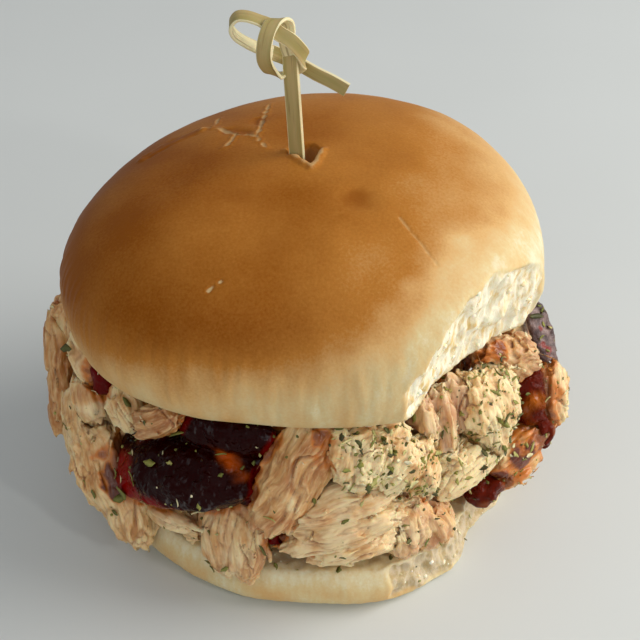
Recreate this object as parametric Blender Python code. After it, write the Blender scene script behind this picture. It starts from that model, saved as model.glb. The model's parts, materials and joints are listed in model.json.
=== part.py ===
"""Barbecue chicken slider on a knotted bamboo pick, standing on the underside of its bun.

Frame: metres, +Z up, the origin under the bun's centre on its flat underside. The bun is eaten away
towards +X -Y. Sizes and places are named in millimetres, and the meshes are scaled to metres.
"""

import math
import random
from dataclasses import dataclass

import bmesh
import bpy
from mathutils import Matrix, Vector, noise
from mathutils.bvhtree import BVHTree

MM = 0.001  # metres in one millimetre
GAP = 0.4  # clearance that a piece keeps to whatever shapes it
FLAT_ANGLE = math.radians(8.0)  # a piece's faces that meet flatter than this become one

# --- bun --------------------------------------------------------------------------------------------
CROWN_RADIUS = 40.0
CROWN_RISE = 20.6  # dome above the widest ring
CROWN_DROP = 9.0  # rounded side below the widest ring
CROWN_INSET = 4.0  # how far the cut edge lies inside the widest ring
CROWN_WIDEST_Z = 51.0
CROWN_POWER = 2.3  # 2 is an ellipse, more is squarer
CROWN_TILT = math.radians(-2.5)  # about Y: the +X side stands higher
CROWN_HARMONICS = ((2, 0.030, 0.013), (3, -0.026, -0.028), (4, -0.013, 0.006))
CROWN_SEGMENTS = 40

HEEL_RADIUS = 36.4
HEEL_BASE_INSET = 3.2  # the resting face lies this far inside the widest ring
HEEL_WIDEST_Z = 4.2
HEEL_TOP_Z = 9.4
HEEL_BULGE = 3.0  # squashed out on the bitten side
HEEL_SEGMENTS = 36

BITE_ANGLE = math.radians(-40.0)  # the side that is eaten
BITE_HALF_WIDTH = 28.0
BITE_FAR = 62.0  # outside everything

# --- pick -------------------------------------------------------------------------------------------
STRIP_WIDTH = 2.4
STEM_THICKNESS = 1.2
KNOT_THICKNESS = 0.55
PICK_CLEARANCE = 0.3
PICK_FOOT = Vector((0.9, 0.4, 13.0))  # hidden in the filling
KNOT_CENTRE = Vector((-3.0, 0.5, 89.2))  # where the stem enters its knot

# --- filling ----------------------------------------------------------------------------------------
BED_RADIUS = 29.5
BED_LUMP = 1.2
BED_EATEN = 2.6  # how much the bite takes of it
BED_SEGMENTS = 30
LOBE_RINGS = 6
LOBE_SEGMENTS = 8
LOBE_RIDGE = 0.10  # height of the fibre ridges, as a share of a lobe's size
FLAKE_LENGTH = (1.8, 3.6)  # dried herb leaves: shortest and longest
FLAKE_WIDTH = (0.8, 1.3)
FLAKE_ABOVE = 0.35  # how far a flake stands out of what it lies on
FLAKE_BELOW = 0.45
FLAKE_ROOM = 1.0  # free space that a flake keeps to other nodes
FLAKE_REACH = 25.0  # how far out of a piece its flakes are dropped from
FLAKE_TRIES = 8  # drops for each flake wanted
# How many of the larger herb leaves lie on each piece, where they show from a step away.
FLAKES = {
    "chicken_front_slab": 1,
    "chicken_front_top": 7,
    "chicken_front_low": 2,
    "chicken_low_slab": 1,
    "chicken_left_heap": 3,
    "chicken_left_top": 1,
    "chicken_left_lump": 1,
    "chicken_left_tongue": 2,
    "chicken_bite_strands": 3,
    "chicken_bite_mound": 7,
    "chicken_bite_wedge": 2,
    "chicken_right_top": 2,
    "chicken_right_outer": 2,
    "chicken_right_low": 1,
    "chicken_right_side": 2,
    "sauce_pool": 2,
}
BACK_PIECES = 6  # pieces round the far side
BACK_FROM, BACK_TO = math.radians(18.0), math.radians(178.0)
BACK_REACH = 34.6
BACK_ROWS = ((31.6, -0.11), (18.4, 0.11))  # height and turn of a piece's upper and lower lobe
BACK_FLAKES = 2

# --- colours: base colour, roughness ----------------------------------------------------------------
CRUST = ((0.402, 0.171, 0.045), 0.45)
BAMBOO = ((0.428, 0.305, 0.127), 0.55)
CHICKEN = ((0.610, 0.352, 0.171), 0.50)
CHICKEN_SKIN = ((0.060, 0.022, 0.025), 0.35)
SAUCE = ((0.045, 0.004, 0.002), 0.12)


# --- scene and mesh helpers -------------------------------------------------------------------------
def clear_scene():
    """Removes every object of the open scene."""
    for obj in list(bpy.data.objects):
        bpy.data.objects.remove(obj)


def material(name, finish):
    """A Principled BSDF of one colour."""
    colour, roughness = finish
    made = bpy.data.materials.new(name)
    made.use_nodes = True
    shader = made.node_tree.nodes["Principled BSDF"]
    shader.inputs["Base Color"].default_value = (*colour, 1.0)
    shader.inputs["Roughness"].default_value = roughness
    shader.inputs["Metallic"].default_value = 0.0
    return made


def object_from(bm, name, helper=False):
    """Turns a bmesh in millimetres into an object in metres. A helper is only joined or cut away."""
    mesh = bpy.data.meshes.new(name)
    bmesh.ops.triangulate(bm, faces=bm.faces)
    bmesh.ops.recalc_face_normals(bm, faces=bm.faces)
    bm.transform(Matrix.Scale(MM, 4))
    bm.to_mesh(mesh)
    bm.free()
    obj = bpy.data.objects.new(name, mesh)
    bpy.context.scene.collection.objects.link(obj)
    if helper:
        obj.hide_render = True
        obj.display_type = "WIRE"
    return obj


def rings_to_solid(rings, poles=None):
    """A closed bmesh from rings of points with equal counts, closed by a pole at either end."""
    bm = bmesh.new()
    loops = [[bm.verts.new(point) for point in ring] for ring in rings]
    count = len(loops[0])
    for lower, upper in zip(loops, loops[1:]):
        for i in range(count):
            j = (i + 1) % count
            bm.faces.new((lower[i], lower[j], upper[j], upper[i]))
    poles = poles or [sum(ring, Vector()) / count for ring in (rings[0], rings[-1])]
    for loop, place in zip((loops[0], loops[-1]), poles):
        pole = bm.verts.new(place)
        for i in range(count):
            bm.faces.new((loop[i], loop[(i + 1) % count], pole))
    return bm


def polar(reach, angle, height):
    """A point from its distance to the bun's axis, its angle and its height."""
    return Vector((reach * math.cos(angle), reach * math.sin(angle), height))


def rough(point, wavelength, seed=0.0):
    """Smooth noise between about -1 and 1 at a point."""
    return noise.noise(Vector(point) / wavelength + Vector((seed, 0.37 * seed, -0.61 * seed)))


def boolean(target, operation, others):
    """Joins the others to the target or cuts them from it in one Boolean, and applies it."""
    group = bpy.data.collections.new("operands")
    for other in others:
        group.objects.link(other)
    modifier = target.modifiers.new("shape", "BOOLEAN")
    modifier.operation = operation
    modifier.operand_type = "COLLECTION"
    modifier.collection = group
    graph = bpy.context.evaluated_depsgraph_get()
    made = bpy.data.meshes.new_from_object(target.evaluated_get(graph))
    target.modifiers.clear()
    target.data = made
    bpy.data.collections.remove(group)


def remove(objects):
    """Removes helper objects that have done their work."""
    for obj in objects:
        bpy.data.objects.remove(obj)


def islands(bm):
    """The separate surfaces of a bmesh, as sets of faces, the largest first."""
    left = set(bm.faces)
    found = []
    while left:
        stack = [left.pop()]
        island = set(stack)
        while stack:
            for edge in stack.pop().edges:
                beside = [face for face in edge.link_faces if face in left]
                left.difference_update(beside)
                island.update(beside)
                stack.extend(beside)
        found.append(island)
    return sorted(found, key=lambda island: sum(face.calc_area() for face in island), reverse=True)


def keep_largest(obj, flat_angle=0.0):
    """Drops the loose scraps that a cut leaves, and joins faces that meet flatter than flat_angle."""
    bm = bmesh.new()
    bm.from_mesh(obj.data)
    bmesh.ops.remove_doubles(bm, verts=bm.verts, dist=0.01 * MM)
    bmesh.ops.dissolve_degenerate(bm, dist=0.01 * MM, edges=bm.edges)
    if flat_angle:
        bmesh.ops.dissolve_limit(bm, angle_limit=flat_angle, verts=bm.verts, edges=bm.edges)
    bmesh.ops.triangulate(bm, faces=bm.faces)
    for scrap in islands(bm)[1:]:
        bmesh.ops.delete(bm, geom=list(scrap), context="FACES")
    for vert in [vert for vert in bm.verts if not vert.link_faces]:
        bm.verts.remove(vert)
    bm.to_mesh(obj.data)
    bm.free()


def finish(obj, look):
    """Gives an object its material and smooth shading with sharp edges kept."""
    obj.data.materials.clear()
    obj.data.materials.append(look)
    obj.data.shade_smooth()
    obj.data.set_sharp_from_angle(angle=math.radians(50))


# --- bun --------------------------------------------------------------------------------------------
def crown_plan(angle):
    """The crown's outline as a share of its radius, at an angle round the bun."""
    return 1.0 + sum(a * math.cos(n * angle) + b * math.sin(n * angle) for n, a, b in CROWN_HARMONICS)


def crown_profile():
    """(reach, height) of the crown from near its top down to the middle of its cut face."""
    dome_steps, side_steps = 8, 3
    points = []
    for i in range(1, dome_steps + 1):
        turn = math.pi / 2 * (1 - i / dome_steps)
        reach = CROWN_RADIUS * math.cos(turn) ** (2 / CROWN_POWER)
        points.append((reach, CROWN_WIDEST_Z + CROWN_RISE * math.sin(turn) ** (2 / CROWN_POWER)))
    for i in range(1, side_steps + 1):
        turn = math.pi / 2 * i / side_steps
        reach = CROWN_RADIUS - CROWN_INSET * (1 - math.cos(turn))
        points.append((reach, CROWN_WIDEST_Z - CROWN_DROP * math.sin(turn)))
    points.append((CROWN_RADIUS * 0.45, CROWN_WIDEST_Z - CROWN_DROP))
    return points


def crown_solid(grow=0.0):
    """The whole crown before it is bitten, made larger all round by grow, and leaning."""
    rings = []
    for reach, height in crown_profile():
        swell = grow * (height - CROWN_WIDEST_Z) / (CROWN_RISE if height > CROWN_WIDEST_Z else CROWN_DROP)
        ring = []
        for i in range(CROWN_SEGMENTS):
            angle = 2 * math.pi * i / CROWN_SEGMENTS
            uneven = 0.35 * rough(polar(reach, angle, height), 22.0) if reach > CROWN_RADIUS * 0.5 else 0.0
            ring.append(polar((reach + grow) * crown_plan(angle) + uneven, angle, height + swell))
        rings.append(ring)
    top = Vector((0, 0, CROWN_WIDEST_Z + CROWN_RISE + grow))
    bottom = Vector((0, 0, CROWN_WIDEST_Z - CROWN_DROP - grow))
    bm = rings_to_solid(rings, (top, bottom))
    centre = Matrix.Translation((0, 0, CROWN_WIDEST_Z))
    bm.transform(centre @ Matrix.Rotation(CROWN_TILT, 4, "Y") @ centre.inverted())
    return bm


def heel_reach(angle, height):
    """The heel's reach at an angle and a height: a flat foot, a rounded side and a cut top edge."""
    if height <= HEEL_WIDEST_Z:
        inset = HEEL_BASE_INSET * (1 - height / HEEL_WIDEST_Z) ** 2.2
    else:
        inset = 1.5 * ((height - HEEL_WIDEST_Z) / (HEEL_TOP_Z - HEEL_WIDEST_Z)) ** 2
    away = math.remainder(angle - math.radians(-28.0), 2 * math.pi)
    bulge = HEEL_BULGE * math.exp(-((away / math.radians(40.0)) ** 2))
    ripple = 0.35 * math.sin(5 * angle + 1.0) + 0.25 * math.sin(9 * angle)
    return HEEL_RADIUS - inset + bulge + ripple


def heel_solid(grow=0.0):
    """The whole heel before it is bitten, with a flat resting face."""
    rings = []
    levels = ((0, 0.5), (0, 1), (1.2, 1), (2.8, 1), (4.2, 1), (6.4, 1), (8.4, 1), (HEEL_TOP_Z, 0.975))
    for height, share in levels:
        lift = grow * (height - HEEL_WIDEST_Z) / (HEEL_TOP_Z - HEEL_WIDEST_Z)
        angles = [2 * math.pi * i / HEEL_SEGMENTS for i in range(HEEL_SEGMENTS)]
        rings.append([polar((heel_reach(a, height) + grow) * share, a, height + lift) for a in angles])
    rings.append([Vector((p.x * 0.5, p.y * 0.5, p.z)) for p in rings[-1]])
    return rings_to_solid(rings)


def bite_cutter(reach_at, z_low, z_high, step):
    """What the teeth took: a block whose inner wall stands reach_at(side, height) along the bite."""
    aim = Matrix.Rotation(BITE_ANGLE, 4, "Z")
    columns = round(2 * BITE_HALF_WIDTH / step)
    rows = round((z_high - z_low) / step)
    rings = []
    for i in range(columns + 1):
        side = BITE_HALF_WIDTH * (2 * i / columns - 1)
        heights = [z_low + (z_high - z_low) * j / rows for j in range(rows + 1)]
        wall = [aim @ Vector((reach_at(side, height), side, height)) for height in heights]
        back = [aim @ Vector((BITE_FAR, side, height)) for height in (z_high, z_low)]
        rings.append(wall + back)
    return object_from(rings_to_solid(rings), "bite", helper=True)


def crown_bite(side, height):
    """How far the crown's torn face stands from the bun's axis, across and up the bite."""
    hollow = 2.6 * (1 - math.exp(-((side + 1.0) ** 2) / 98.0))
    crags = 0.8 * rough((side, height, 0), 3.6, 4.0) + 0.9 * rough((side, height, 0), 8.5, 9.0)
    return 31.2 + hollow + 0.24 * (height - 43.0) + crags


def heel_bite(side, height):
    """The same for the heel: a shallow tear with one deeper notch."""
    edge = math.sqrt(36.8**2 - side**2)
    notch = 3.6 * math.exp(-(((side - 7.0) / 7.0) ** 2))
    spared = 4.0 * max(0.0, min(1.0, (side - 17.0) / 5.0)) + 3.0 * max(0.0, min(1.0, (-17.0 - side) / 4.0))
    crags = 0.8 * rough((side, height, 0), 3.2, 2.0) + 0.5 * rough((side, height, 0), 6.5, 7.0)
    return edge - notch + spared + crags - 0.12 * (height - 4.0)


def pick_tear():
    """The three-cornered tear where the pick enters the crown, as a tapered plug."""
    mouth = [(-3.0, 2.6), (-1.9, -0.3), (0.2, -2.7), (1.6, 2.6), (0.2, 3.6), (-1.6, 3.4)]
    foot = [(-1.9, 1.0), (-1.4, 0.0), (-0.4, -0.7), (0.3, 1.0), (0.0, 1.8), (-1.4, 1.8)]
    levels = ((foot, 65.5), (mouth, 71.0), (mouth, 75.0))
    rings = [[Vector((x, y, height)) for x, y in outline] for outline, height in levels]
    return object_from(rings_to_solid(rings), "tear", helper=True)


def build_crown(look):
    """The top of the bun, bitten and pierced."""
    crown = object_from(crown_solid(), "bun_crown")
    cutters = [bite_cutter(crown_bite, 36.0, 76.0, 2.5), pick_tear(), stem_cutter()]
    boolean(crown, "DIFFERENCE", cutters)
    remove(cutters)
    keep_largest(crown)
    finish(crown, look)
    return crown


def build_heel(look):
    """The bottom of the bun, its edge torn on the bitten side."""
    heel = object_from(heel_solid(), "bun_heel")
    cutters = [bite_cutter(heel_bite, -4.0, 14.0, 2.5)]
    boolean(heel, "DIFFERENCE", cutters)
    remove(cutters)
    keep_largest(heel)
    finish(heel, look)
    return heel


# --- pick -------------------------------------------------------------------------------------------
# The strip's way through its knot: to the right, up and towards the front of KNOT_CENTRE, and the way
# that its width points. The stem rises into a ring, crosses its own front, loops left and leaves right.
KNOT_ROUTE = (
    ((0.0, 0.0, 0.0), (1.0, 0.0, 0.2)),
    ((-0.5, 2.0, -0.1), (1.0, 0.0, 0.2)),
    ((-0.3, 3.5, -0.8), (1.0, 0.0, 0.1)),
    ((-0.5, 4.9, -1.1), (1.0, 0.1, 0.1)),
    ((-1.4, 5.9, -0.2), (1.0, 0.1, 0.0)),
    ((-2.6, 6.0, 1.2), (1.0, 0.0, 0.0)),
    ((-3.4, 4.8, 2.2), (1.0, 0.0, 0.0)),
    ((-3.9, 2.6, 2.6), (1.0, 0.0, 0.1)),
    ((-3.9, 0.2, 2.3), (1.0, 0.0, 0.1)),
    ((-3.2, -2.0, 1.3), (1.0, -0.1, 0.1)),
    ((-2.0, -3.5, 0.0), (1.0, -0.4, 0.3)),
    ((-0.6, -3.6, -1.2), (0.5, 0.8, 0.2)),
    ((0.7, -3.2, -1.6), (0.1, 1.0, 0.0)),
    ((1.9, -2.0, -1.0), (0.1, 1.0, 0.1)),
    ((2.2, -0.3, 0.1), (0.4, 0.9, -0.2)),
    ((1.5, 1.6, 1.2), (0.6, 0.8, -0.2)),
    ((0.1, 3.4, 1.6), (0.5, 0.8, -0.3)),
    ((-1.6, 4.3, 1.2), (0.2, 0.8, -0.6)),
    ((-3.0, 5.3, 0.5), (0.0, 0.6, -0.9)),
    ((-4.6, 5.9, 0.0), (0.0, 0.3, -1.0)),
    ((-6.6, 6.4, -0.4), (0.0, 0.3, -1.0)),
    ((-8.2, 6.2, -0.6), (0.0, 0.3, -1.0)),
    ((-9.1, 4.8, -0.6), (0.0, 0.3, -1.0)),
    ((-8.6, 3.2, -0.7), (0.0, 0.3, -1.0)),
    ((-7.0, 1.8, -0.9), (0.0, 0.3, -1.0)),
    ((-5.0, 0.6, -1.2), (0.0, 0.4, -1.0)),
    ((-2.8, -0.6, -1.9), (0.0, 0.8, -0.6)),
    ((-0.6, -1.7, -2.2), (0.1, 1.0, -0.2)),
    ((1.6, -2.9, -2.2), (0.3, 1.0, 0.0)),
    ((4.0, -4.0, -1.4), (0.4, 1.0, 0.0)),
    ((6.6, -5.0, -0.6), (0.4, 1.0, 0.0)),
    ((9.0, -6.1, 0.2), (0.4, 1.0, 0.0)),
)
RING_POINTS = 12  # of the route: the stem's ring, up to where it passes behind the stem


def strip_solid(stations):
    """A strip through (centre, width direction, width, thickness) stations, as a closed bmesh."""
    rings = []
    for i, (centre, across, width, thickness) in enumerate(stations):
        ahead = stations[min(i + 1, len(stations) - 1)][0] - stations[max(i - 1, 0)][0]
        ahead.normalize()
        across = (across - ahead * across.dot(ahead)).normalized()
        through = ahead.cross(across)
        corners = ((-1, -1), (1, -1), (1, 1), (-1, 1))
        rings.append([centre + across * (width / 2 * a) + through * (thickness / 2 * b) for a, b in corners])
    return rings_to_solid(rings)


def knot_stations(route, steps):
    """Stations along a smooth curve through points of the route, steps to each stretch of it."""
    points = [Vector((right, -front, up)) + KNOT_CENTRE for (right, up, front), _ in route]
    widths = [Vector((right, -front, up)).normalized() for _, (right, up, front) in route]
    stations = []
    for i in range(len(points) - 1):
        before, after = points[max(i - 1, 0)], points[min(i + 2, len(points) - 1)]
        for k in range(steps + (i == len(points) - 2)):
            t = k / steps
            a = (points[i + 1] - before) * 0.5
            b = (after - points[i]) * 0.5
            h = (2 * t**3 - 3 * t**2 + 1, t**3 - 2 * t**2 + t, -2 * t**3 + 3 * t**2, t**3 - t**2)
            centre = points[i] * h[0] + a * h[1] + points[i + 1] * h[2] + b * h[3]
            stations.append((centre, widths[i].lerp(widths[i + 1], t), STRIP_WIDTH, KNOT_THICKNESS))
    return stations


def stem_stations(grow=0.0):
    """The straight stem, from its pointed foot in the filling to the knot."""
    across = Vector((1.0, -0.25, 0.0))
    stations = []
    for share, size in ((0.0, 0.35), (0.06, 1.0), (0.85, 1.0), (1.0, 1.0)):
        centre = PICK_FOOT.lerp(KNOT_CENTRE, share)
        thickness = KNOT_THICKNESS if share == 1.0 and not grow else STEM_THICKNESS
        stations.append((centre, across, STRIP_WIDTH * size + 2 * grow, thickness * size + 2 * grow))
    return stations


def stem_cutter():
    """The channel that the stem needs through the crown and the filling."""
    stations = stem_stations(PICK_CLEARANCE)
    centre, across, width, thickness = stations[0]
    stations[0] = (centre - Vector((0, 0, PICK_CLEARANCE)), across, width, thickness)
    return object_from(strip_solid(stations), "channel", helper=True)


def build_pick(look):
    """The bamboo pick: stem, ring, loop and tail, joined where the strip touches itself."""
    pick = object_from(strip_solid(stem_stations()), "bamboo_pick")
    stretches = (KNOT_ROUTE[:RING_POINTS], KNOT_ROUTE[RING_POINTS - 1 :])
    parts = [object_from(strip_solid(knot_stations(part, 2)), "strip", helper=True) for part in stretches]
    boolean(pick, "UNION", parts)
    remove(parts)
    keep_largest(pick)
    finish(pick, look)
    return pick


# --- filling ----------------------------------------------------------------------------------------
@dataclass(frozen=True)
class Lobe:
    """A fibrous lump: an ellipsoid with ridges along its grain.

    half holds half its length along the grain, across it and through it, towards the way it faces.
    """

    centre: tuple
    half: tuple
    grain: tuple
    face: tuple
    ridges: int = 5
    bend: float = 0.0

    def solid(self, grow=0.0):
        """The lobe as a closed bmesh, made larger all round by grow."""
        along = Vector(self.grain).normalized()
        facing = Vector(self.face)
        facing = (facing - along * facing.dot(along)).normalized()
        across = facing.cross(along)
        seed = sum(self.centre)
        long, wide, thick = (size + grow for size in self.half)
        rings = []
        for i in range(LOBE_RINGS):
            t = math.sin(math.radians(72) * (2 * i / (LOBE_RINGS - 1) - 1))
            taper = (1 - abs(t) ** 2.6) ** 0.5
            ring = []
            for j in range(LOBE_SEGMENTS):
                turn = 2 * math.pi * j / LOBE_SEGMENTS
                ridge = 1 + LOBE_RIDGE * math.cos(self.ridges * turn + 1.3 * t + seed)
                u = long * t * (1 + 0.10 * math.sin(2 * turn + seed))
                v = wide * taper * ridge * math.cos(turn)
                w = thick * taper * ridge * math.sin(turn) + self.bend * (t * t - 0.4)
                point = Vector(self.centre) + along * u + across * v + facing * w
                ring.append(point + facing * (0.09 * thick * rough(point, 5.0, seed)))
            rings.append(ring)
        return rings_to_solid(rings)


FRONT = (0.05, -0.85, 0.5)
FRONT_LEFT = (-0.45, -0.80, 0.4)
LEFT = (-0.85, -0.45, 0.35)
FRONT_RIGHT = (0.5, -0.8, 0.35)
RIGHT = (0.8, -0.5, 0.35)
FAR_RIGHT = (0.95, 0.05, 0.3)
BACK_RIGHT = (0.75, 0.6, 0.3)

# Each piece is the union of its lobes. An earlier piece keeps its shape, and a later one is cut to fit it.
CHUNKS = {
    "chicken_front_slab": (
        Lobe((-2.6, -34.6, 32.0), (12.2, 5.2, 3.3), (-0.44, -0.20, -0.87), (-0.2, -0.85, 0.3), 4, 0.6),
    ),
    "chicken_front_fold": (
        Lobe((3.6, -34.2, 25.6), (11.6, 4.3, 4.4), (0.93, 0.06, 0.36), FRONT, 4, -1.2),
        Lobe((5.4, -34.6, 20.2), (11.2, 3.4, 4.6), (0.93, 0.08, 0.30), FRONT, 4, -1.0),
        Lobe((7.2, -34.2, 15.6), (8.6, 3.0, 4.0), (0.94, 0.12, 0.22), FRONT, 4, -0.8),
    ),
    "chicken_front_top": (
        Lobe((7.6, -34.0, 36.2), (6.4, 5.2, 4.4), (0.3, -0.3, -0.9), FRONT, 4),
        Lobe((13.2, -32.4, 34.4), (6.8, 5.0, 4.6), (0.25, -0.2, -0.95), FRONT, 4),
        Lobe((17.4, -29.4, 29.6), (6.6, 4.4, 4.2), (0.3, 0.0, -0.95), FRONT_RIGHT, 4),
    ),
    "chicken_front_low": (
        Lobe((16.2, -29.6, 16.4), (6.6, 5.2, 4.4), (0.1, -0.2, -0.97), FRONT_RIGHT, 4),
        Lobe((20.6, -27.2, 13.8), (5.4, 4.6, 4.0), (0.3, -0.2, -0.9), FRONT_RIGHT, 4),
    ),
    "chicken_low_slab": (
        Lobe((-12.8, -32.6, 15.8), (8.6, 6.6, 3.2), (0.04, -0.28, -0.95), FRONT_LEFT, 4, 0.4),
    ),
    "chicken_low_strand": (
        Lobe((-24.6, -26.4, 14.4), (6.2, 2.0, 2.0), (0.72, -0.62, 0.12), FRONT_LEFT, 4, -0.6),
        Lobe((-20.0, -28.0, 13.4), (3.0, 2.4, 2.2), (0.1, -0.2, -0.95), FRONT_LEFT, 4),
    ),
    "chicken_left_strip": (
        Lobe((-45.0, -4.6, 28.4), (11.6, 3.4, 2.8), (0.04, -0.56, -0.82), LEFT, 4, 0.8),
    ),
    "chicken_left_top": (
        Lobe((-42.6, 1.4, 36.2), (5.4, 4.2, 4.2), (0.1, -0.5, -0.85), LEFT, 4),
        Lobe((-40.0, 6.4, 31.0), (7.0, 5.2, 4.6), (0.1, 0.2, -0.95), LEFT, 4),
    ),
    "chicken_left_pale": (Lobe((-38.2, -11.4, 37.4), (5.6, 3.0, 3.0), (0.40, -0.55, -0.70), LEFT, 4),),
    "chicken_left_mid": (Lobe((-37.6, -13.6, 30.8), (5.4, 3.8, 3.8), (0.2, -0.3, -0.9), LEFT, 4),),
    "chicken_left_lump": (Lobe((-30.2, -19.6, 33.4), (5.0, 3.6, 3.8), (0.4, -0.4, -0.8), LEFT, 4),),
    "chicken_left_tongue": (
        Lobe((-25.6, -24.4, 35.0), (8.0, 3.2, 2.8), (0.62, -0.50, 0.60), FRONT_LEFT, 4, -0.6),
    ),
    "chicken_left_heap": (
        Lobe((-39.2, -12.8, 23.4), (8.4, 6.2, 4.8), (0.05, -0.30, -0.95), LEFT, 4, 0.6),
        Lobe((-37.0, -16.8, 17.2), (9.2, 6.2, 5.2), (0.25, -0.42, -0.87), LEFT, 4, 0.4),
        Lobe((-32.8, -21.6, 12.0), (8.2, 5.2, 4.2), (0.35, -0.45, -0.80), LEFT, 4, 0.2),
    ),
    "chicken_bite_strands": (
        Lobe((18.6, -25.6, 34.6), (6.4, 2.2, 3.4), (0.05, -0.15, -0.98), FRONT_RIGHT, 4),
        Lobe((21.8, -23.6, 34.2), (7.0, 2.3, 3.6), (0.12, -0.20, -0.97), FRONT_RIGHT, 4),
        Lobe((24.6, -20.8, 35.6), (5.8, 2.2, 3.4), (0.25, -0.20, -0.94), RIGHT, 4),
    ),
    "chicken_bite_mound": (
        Lobe((27.6, -20.4, 35.0), (6.2, 4.2, 4.4), (0.3, -0.2, -0.9), RIGHT, 4),
        Lobe((31.2, -16.8, 33.4), (6.8, 4.6, 4.4), (0.3, -0.1, -0.9), RIGHT, 4),
        Lobe((30.6, -18.2, 27.6), (5.8, 4.4, 4.2), (0.4, 0.1, -0.9), RIGHT, 4),
    ),
    "chicken_bite_wedge": (
        Lobe((26.4, -22.0, 22.8), (8.6, 4.2, 4.0), (0.66, 0.46, 0.42), FRONT_RIGHT, 4, 0.5),
        Lobe((23.4, -23.6, 26.2), (5.6, 3.6, 3.6), (0.4, 0.2, -0.85), FRONT_RIGHT, 4),
    ),
    "chicken_right_top": (
        Lobe((30.8, -11.4, 39.0), (4.8, 3.4, 3.4), (0.6, 0.6, -0.3), RIGHT, 4),
        Lobe((36.2, -9.6, 36.4), (4.6, 3.6, 3.6), (0.4, 0.2, -0.8), RIGHT, 4),
    ),
    "chicken_right_outer": (
        Lobe((42.8, -6.6, 25.2), (6.4, 3.8, 3.4), (0.05, -0.40, -0.9), RIGHT, 4, 0.3),
    ),
    "chicken_right_low": (
        Lobe((36.4, -13.0, 18.4), (7.2, 4.2, 4.2), (0.7, 0.5, 0.3), RIGHT, 4),
        Lobe((37.0, -12.0, 13.4), (6.6, 3.8, 4.0), (0.6, 0.6, 0.2), RIGHT, 4),
    ),
    "chicken_right_side": (
        Lobe((37.0, -0.6, 19.6), (9.4, 7.6, 5.4), (0.1, 0.35, -0.9), FAR_RIGHT, 4, 0.4),
        Lobe((34.4, 4.6, 32.0), (9.4, 7.6, 5.0), (0.0, 0.5, -0.8), FAR_RIGHT, 4),
    ),
}

SKINS = {
    "chicken_skin": (Lobe((41.2, -1.4, 34.6), (7.0, 3.4, 1.6), (0.33, -0.46, -0.82), RIGHT, 3, 0.5),),
}

SAUCES = {
    "sauce_pool": (
        Lobe((-22.2, -25.6, 24.6), (16.4, 6.8, 6.2), (0.76, -0.54, 0.36), FRONT_LEFT, 2, -1.5),
        Lobe((-6.4, -28.8, 29.6), (10.4, 8.6, 4.2), (0.95, -0.18, -0.10), FRONT, 2),
        Lobe((-16.0, -26.0, 36.4), (12.0, 4.6, 4.4), (0.85, -0.48, 0.0), FRONT_LEFT, 2),
    ),
    "sauce_left_drop": (Lobe((-35.0, -14.4, 36.0), (3.4, 2.6, 3.2), (0.3, -0.5, -0.8), LEFT, 2),),
    "sauce_under_slab": (Lobe((-1.4, -31.4, 17.0), (7.4, 5.4, 3.8), (0.95, -0.1, -0.1), FRONT, 2),),
    "sauce_right_run": (
        Lobe((38.6, -9.6, 28.0), (7.4, 2.8, 3.2), (0.15, -0.30, -0.92), RIGHT, 2),
        Lobe((40.8, -10.8, 20.4), (3.8, 3.4, 3.2), (0.1, -0.3, -0.9), RIGHT, 2),
    ),
    "sauce_right_glob": (Lobe((31.6, -17.6, 13.4), (4.6, 3.0, 3.0), (0.6, 0.55, 0.5), RIGHT, 2),),
    "sauce_back": (
        Lobe((28.6, 25.6, 25.0), (5.6, 4.6, 5.0), (0.3, -0.3, -0.9), BACK_RIGHT, 2),
        Lobe((27.6, 27.2, 18.0), (4.4, 4.0, 4.2), (0.1, 0.0, -1.0), BACK_RIGHT, 2),
    ),
}


def back_chunks():
    """The pieces round the far side: evenly spaced pairs of lobes, uneven in size, height and grain."""
    draw = random.Random(11)
    chunks = {}
    for i in range(BACK_PIECES):
        middle = BACK_FROM + (BACK_TO - BACK_FROM) * (i + 0.5) / BACK_PIECES
        lobes = []
        for height, turn in BACK_ROWS:
            angle = middle + turn + draw.uniform(-0.05, 0.05)
            centre = polar(BACK_REACH + draw.uniform(-0.8, 1.0), angle, height + draw.uniform(-1.5, 1.5))
            half = (draw.uniform(9.5, 11.0), draw.uniform(6.8, 8.0), draw.uniform(4.4, 5.4))
            slant = draw.uniform(-0.9, 0.9)
            grain = (-slant * math.sin(angle), slant * math.cos(angle), -1.0)
            face = (math.cos(angle), math.sin(angle), 0.3)
            lobes.append(Lobe(tuple(centre), half, grain, face, 4, 0.5))
        chunks[f"chicken_back_{i + 1}"] = tuple(lobes)
    return chunks


def bed_solid(grow=0.0):
    """The core of pulled chicken that runs through the slider: a lumpy disc, leaning like the crown."""
    foot = HEEL_TOP_Z + GAP - grow
    top = CROWN_WIDEST_Z - CROWN_DROP - GAP + grow
    rings = []
    levels = ((0, 0.5), (0, 0.97), (0.25, 1.02), (0.5, 0.98), (0.75, 1.02), (1, 0.97), (1, 0.5))
    for level, share in levels:
        ring = []
        for i in range(BED_SEGMENTS):
            angle = 2 * math.pi * i / BED_SEGMENTS
            lump = BED_LUMP * rough(polar(18.0, angle, 24 * level), 7.0)
            away = math.remainder(angle - BITE_ANGLE, 2 * math.pi)
            eaten = BED_EATEN * math.exp(-((away / 0.35) ** 2))
            reach = (BED_RADIUS + lump - eaten) * share + grow
            point = polar(reach, angle, foot + (top - foot) * level)
            point.z += -math.tan(CROWN_TILT) * point.x * level
            ring.append(point)
        rings.append(ring)
    return rings_to_solid(rings)


def build_bed(look):
    """The bed with the pick's channel in it."""
    bed = object_from(bed_solid(), "chicken_bed")
    cutters = [stem_cutter()]
    boolean(bed, "DIFFERENCE", cutters)
    remove(cutters)
    keep_largest(bed)
    finish(bed, look)
    return bed


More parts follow.
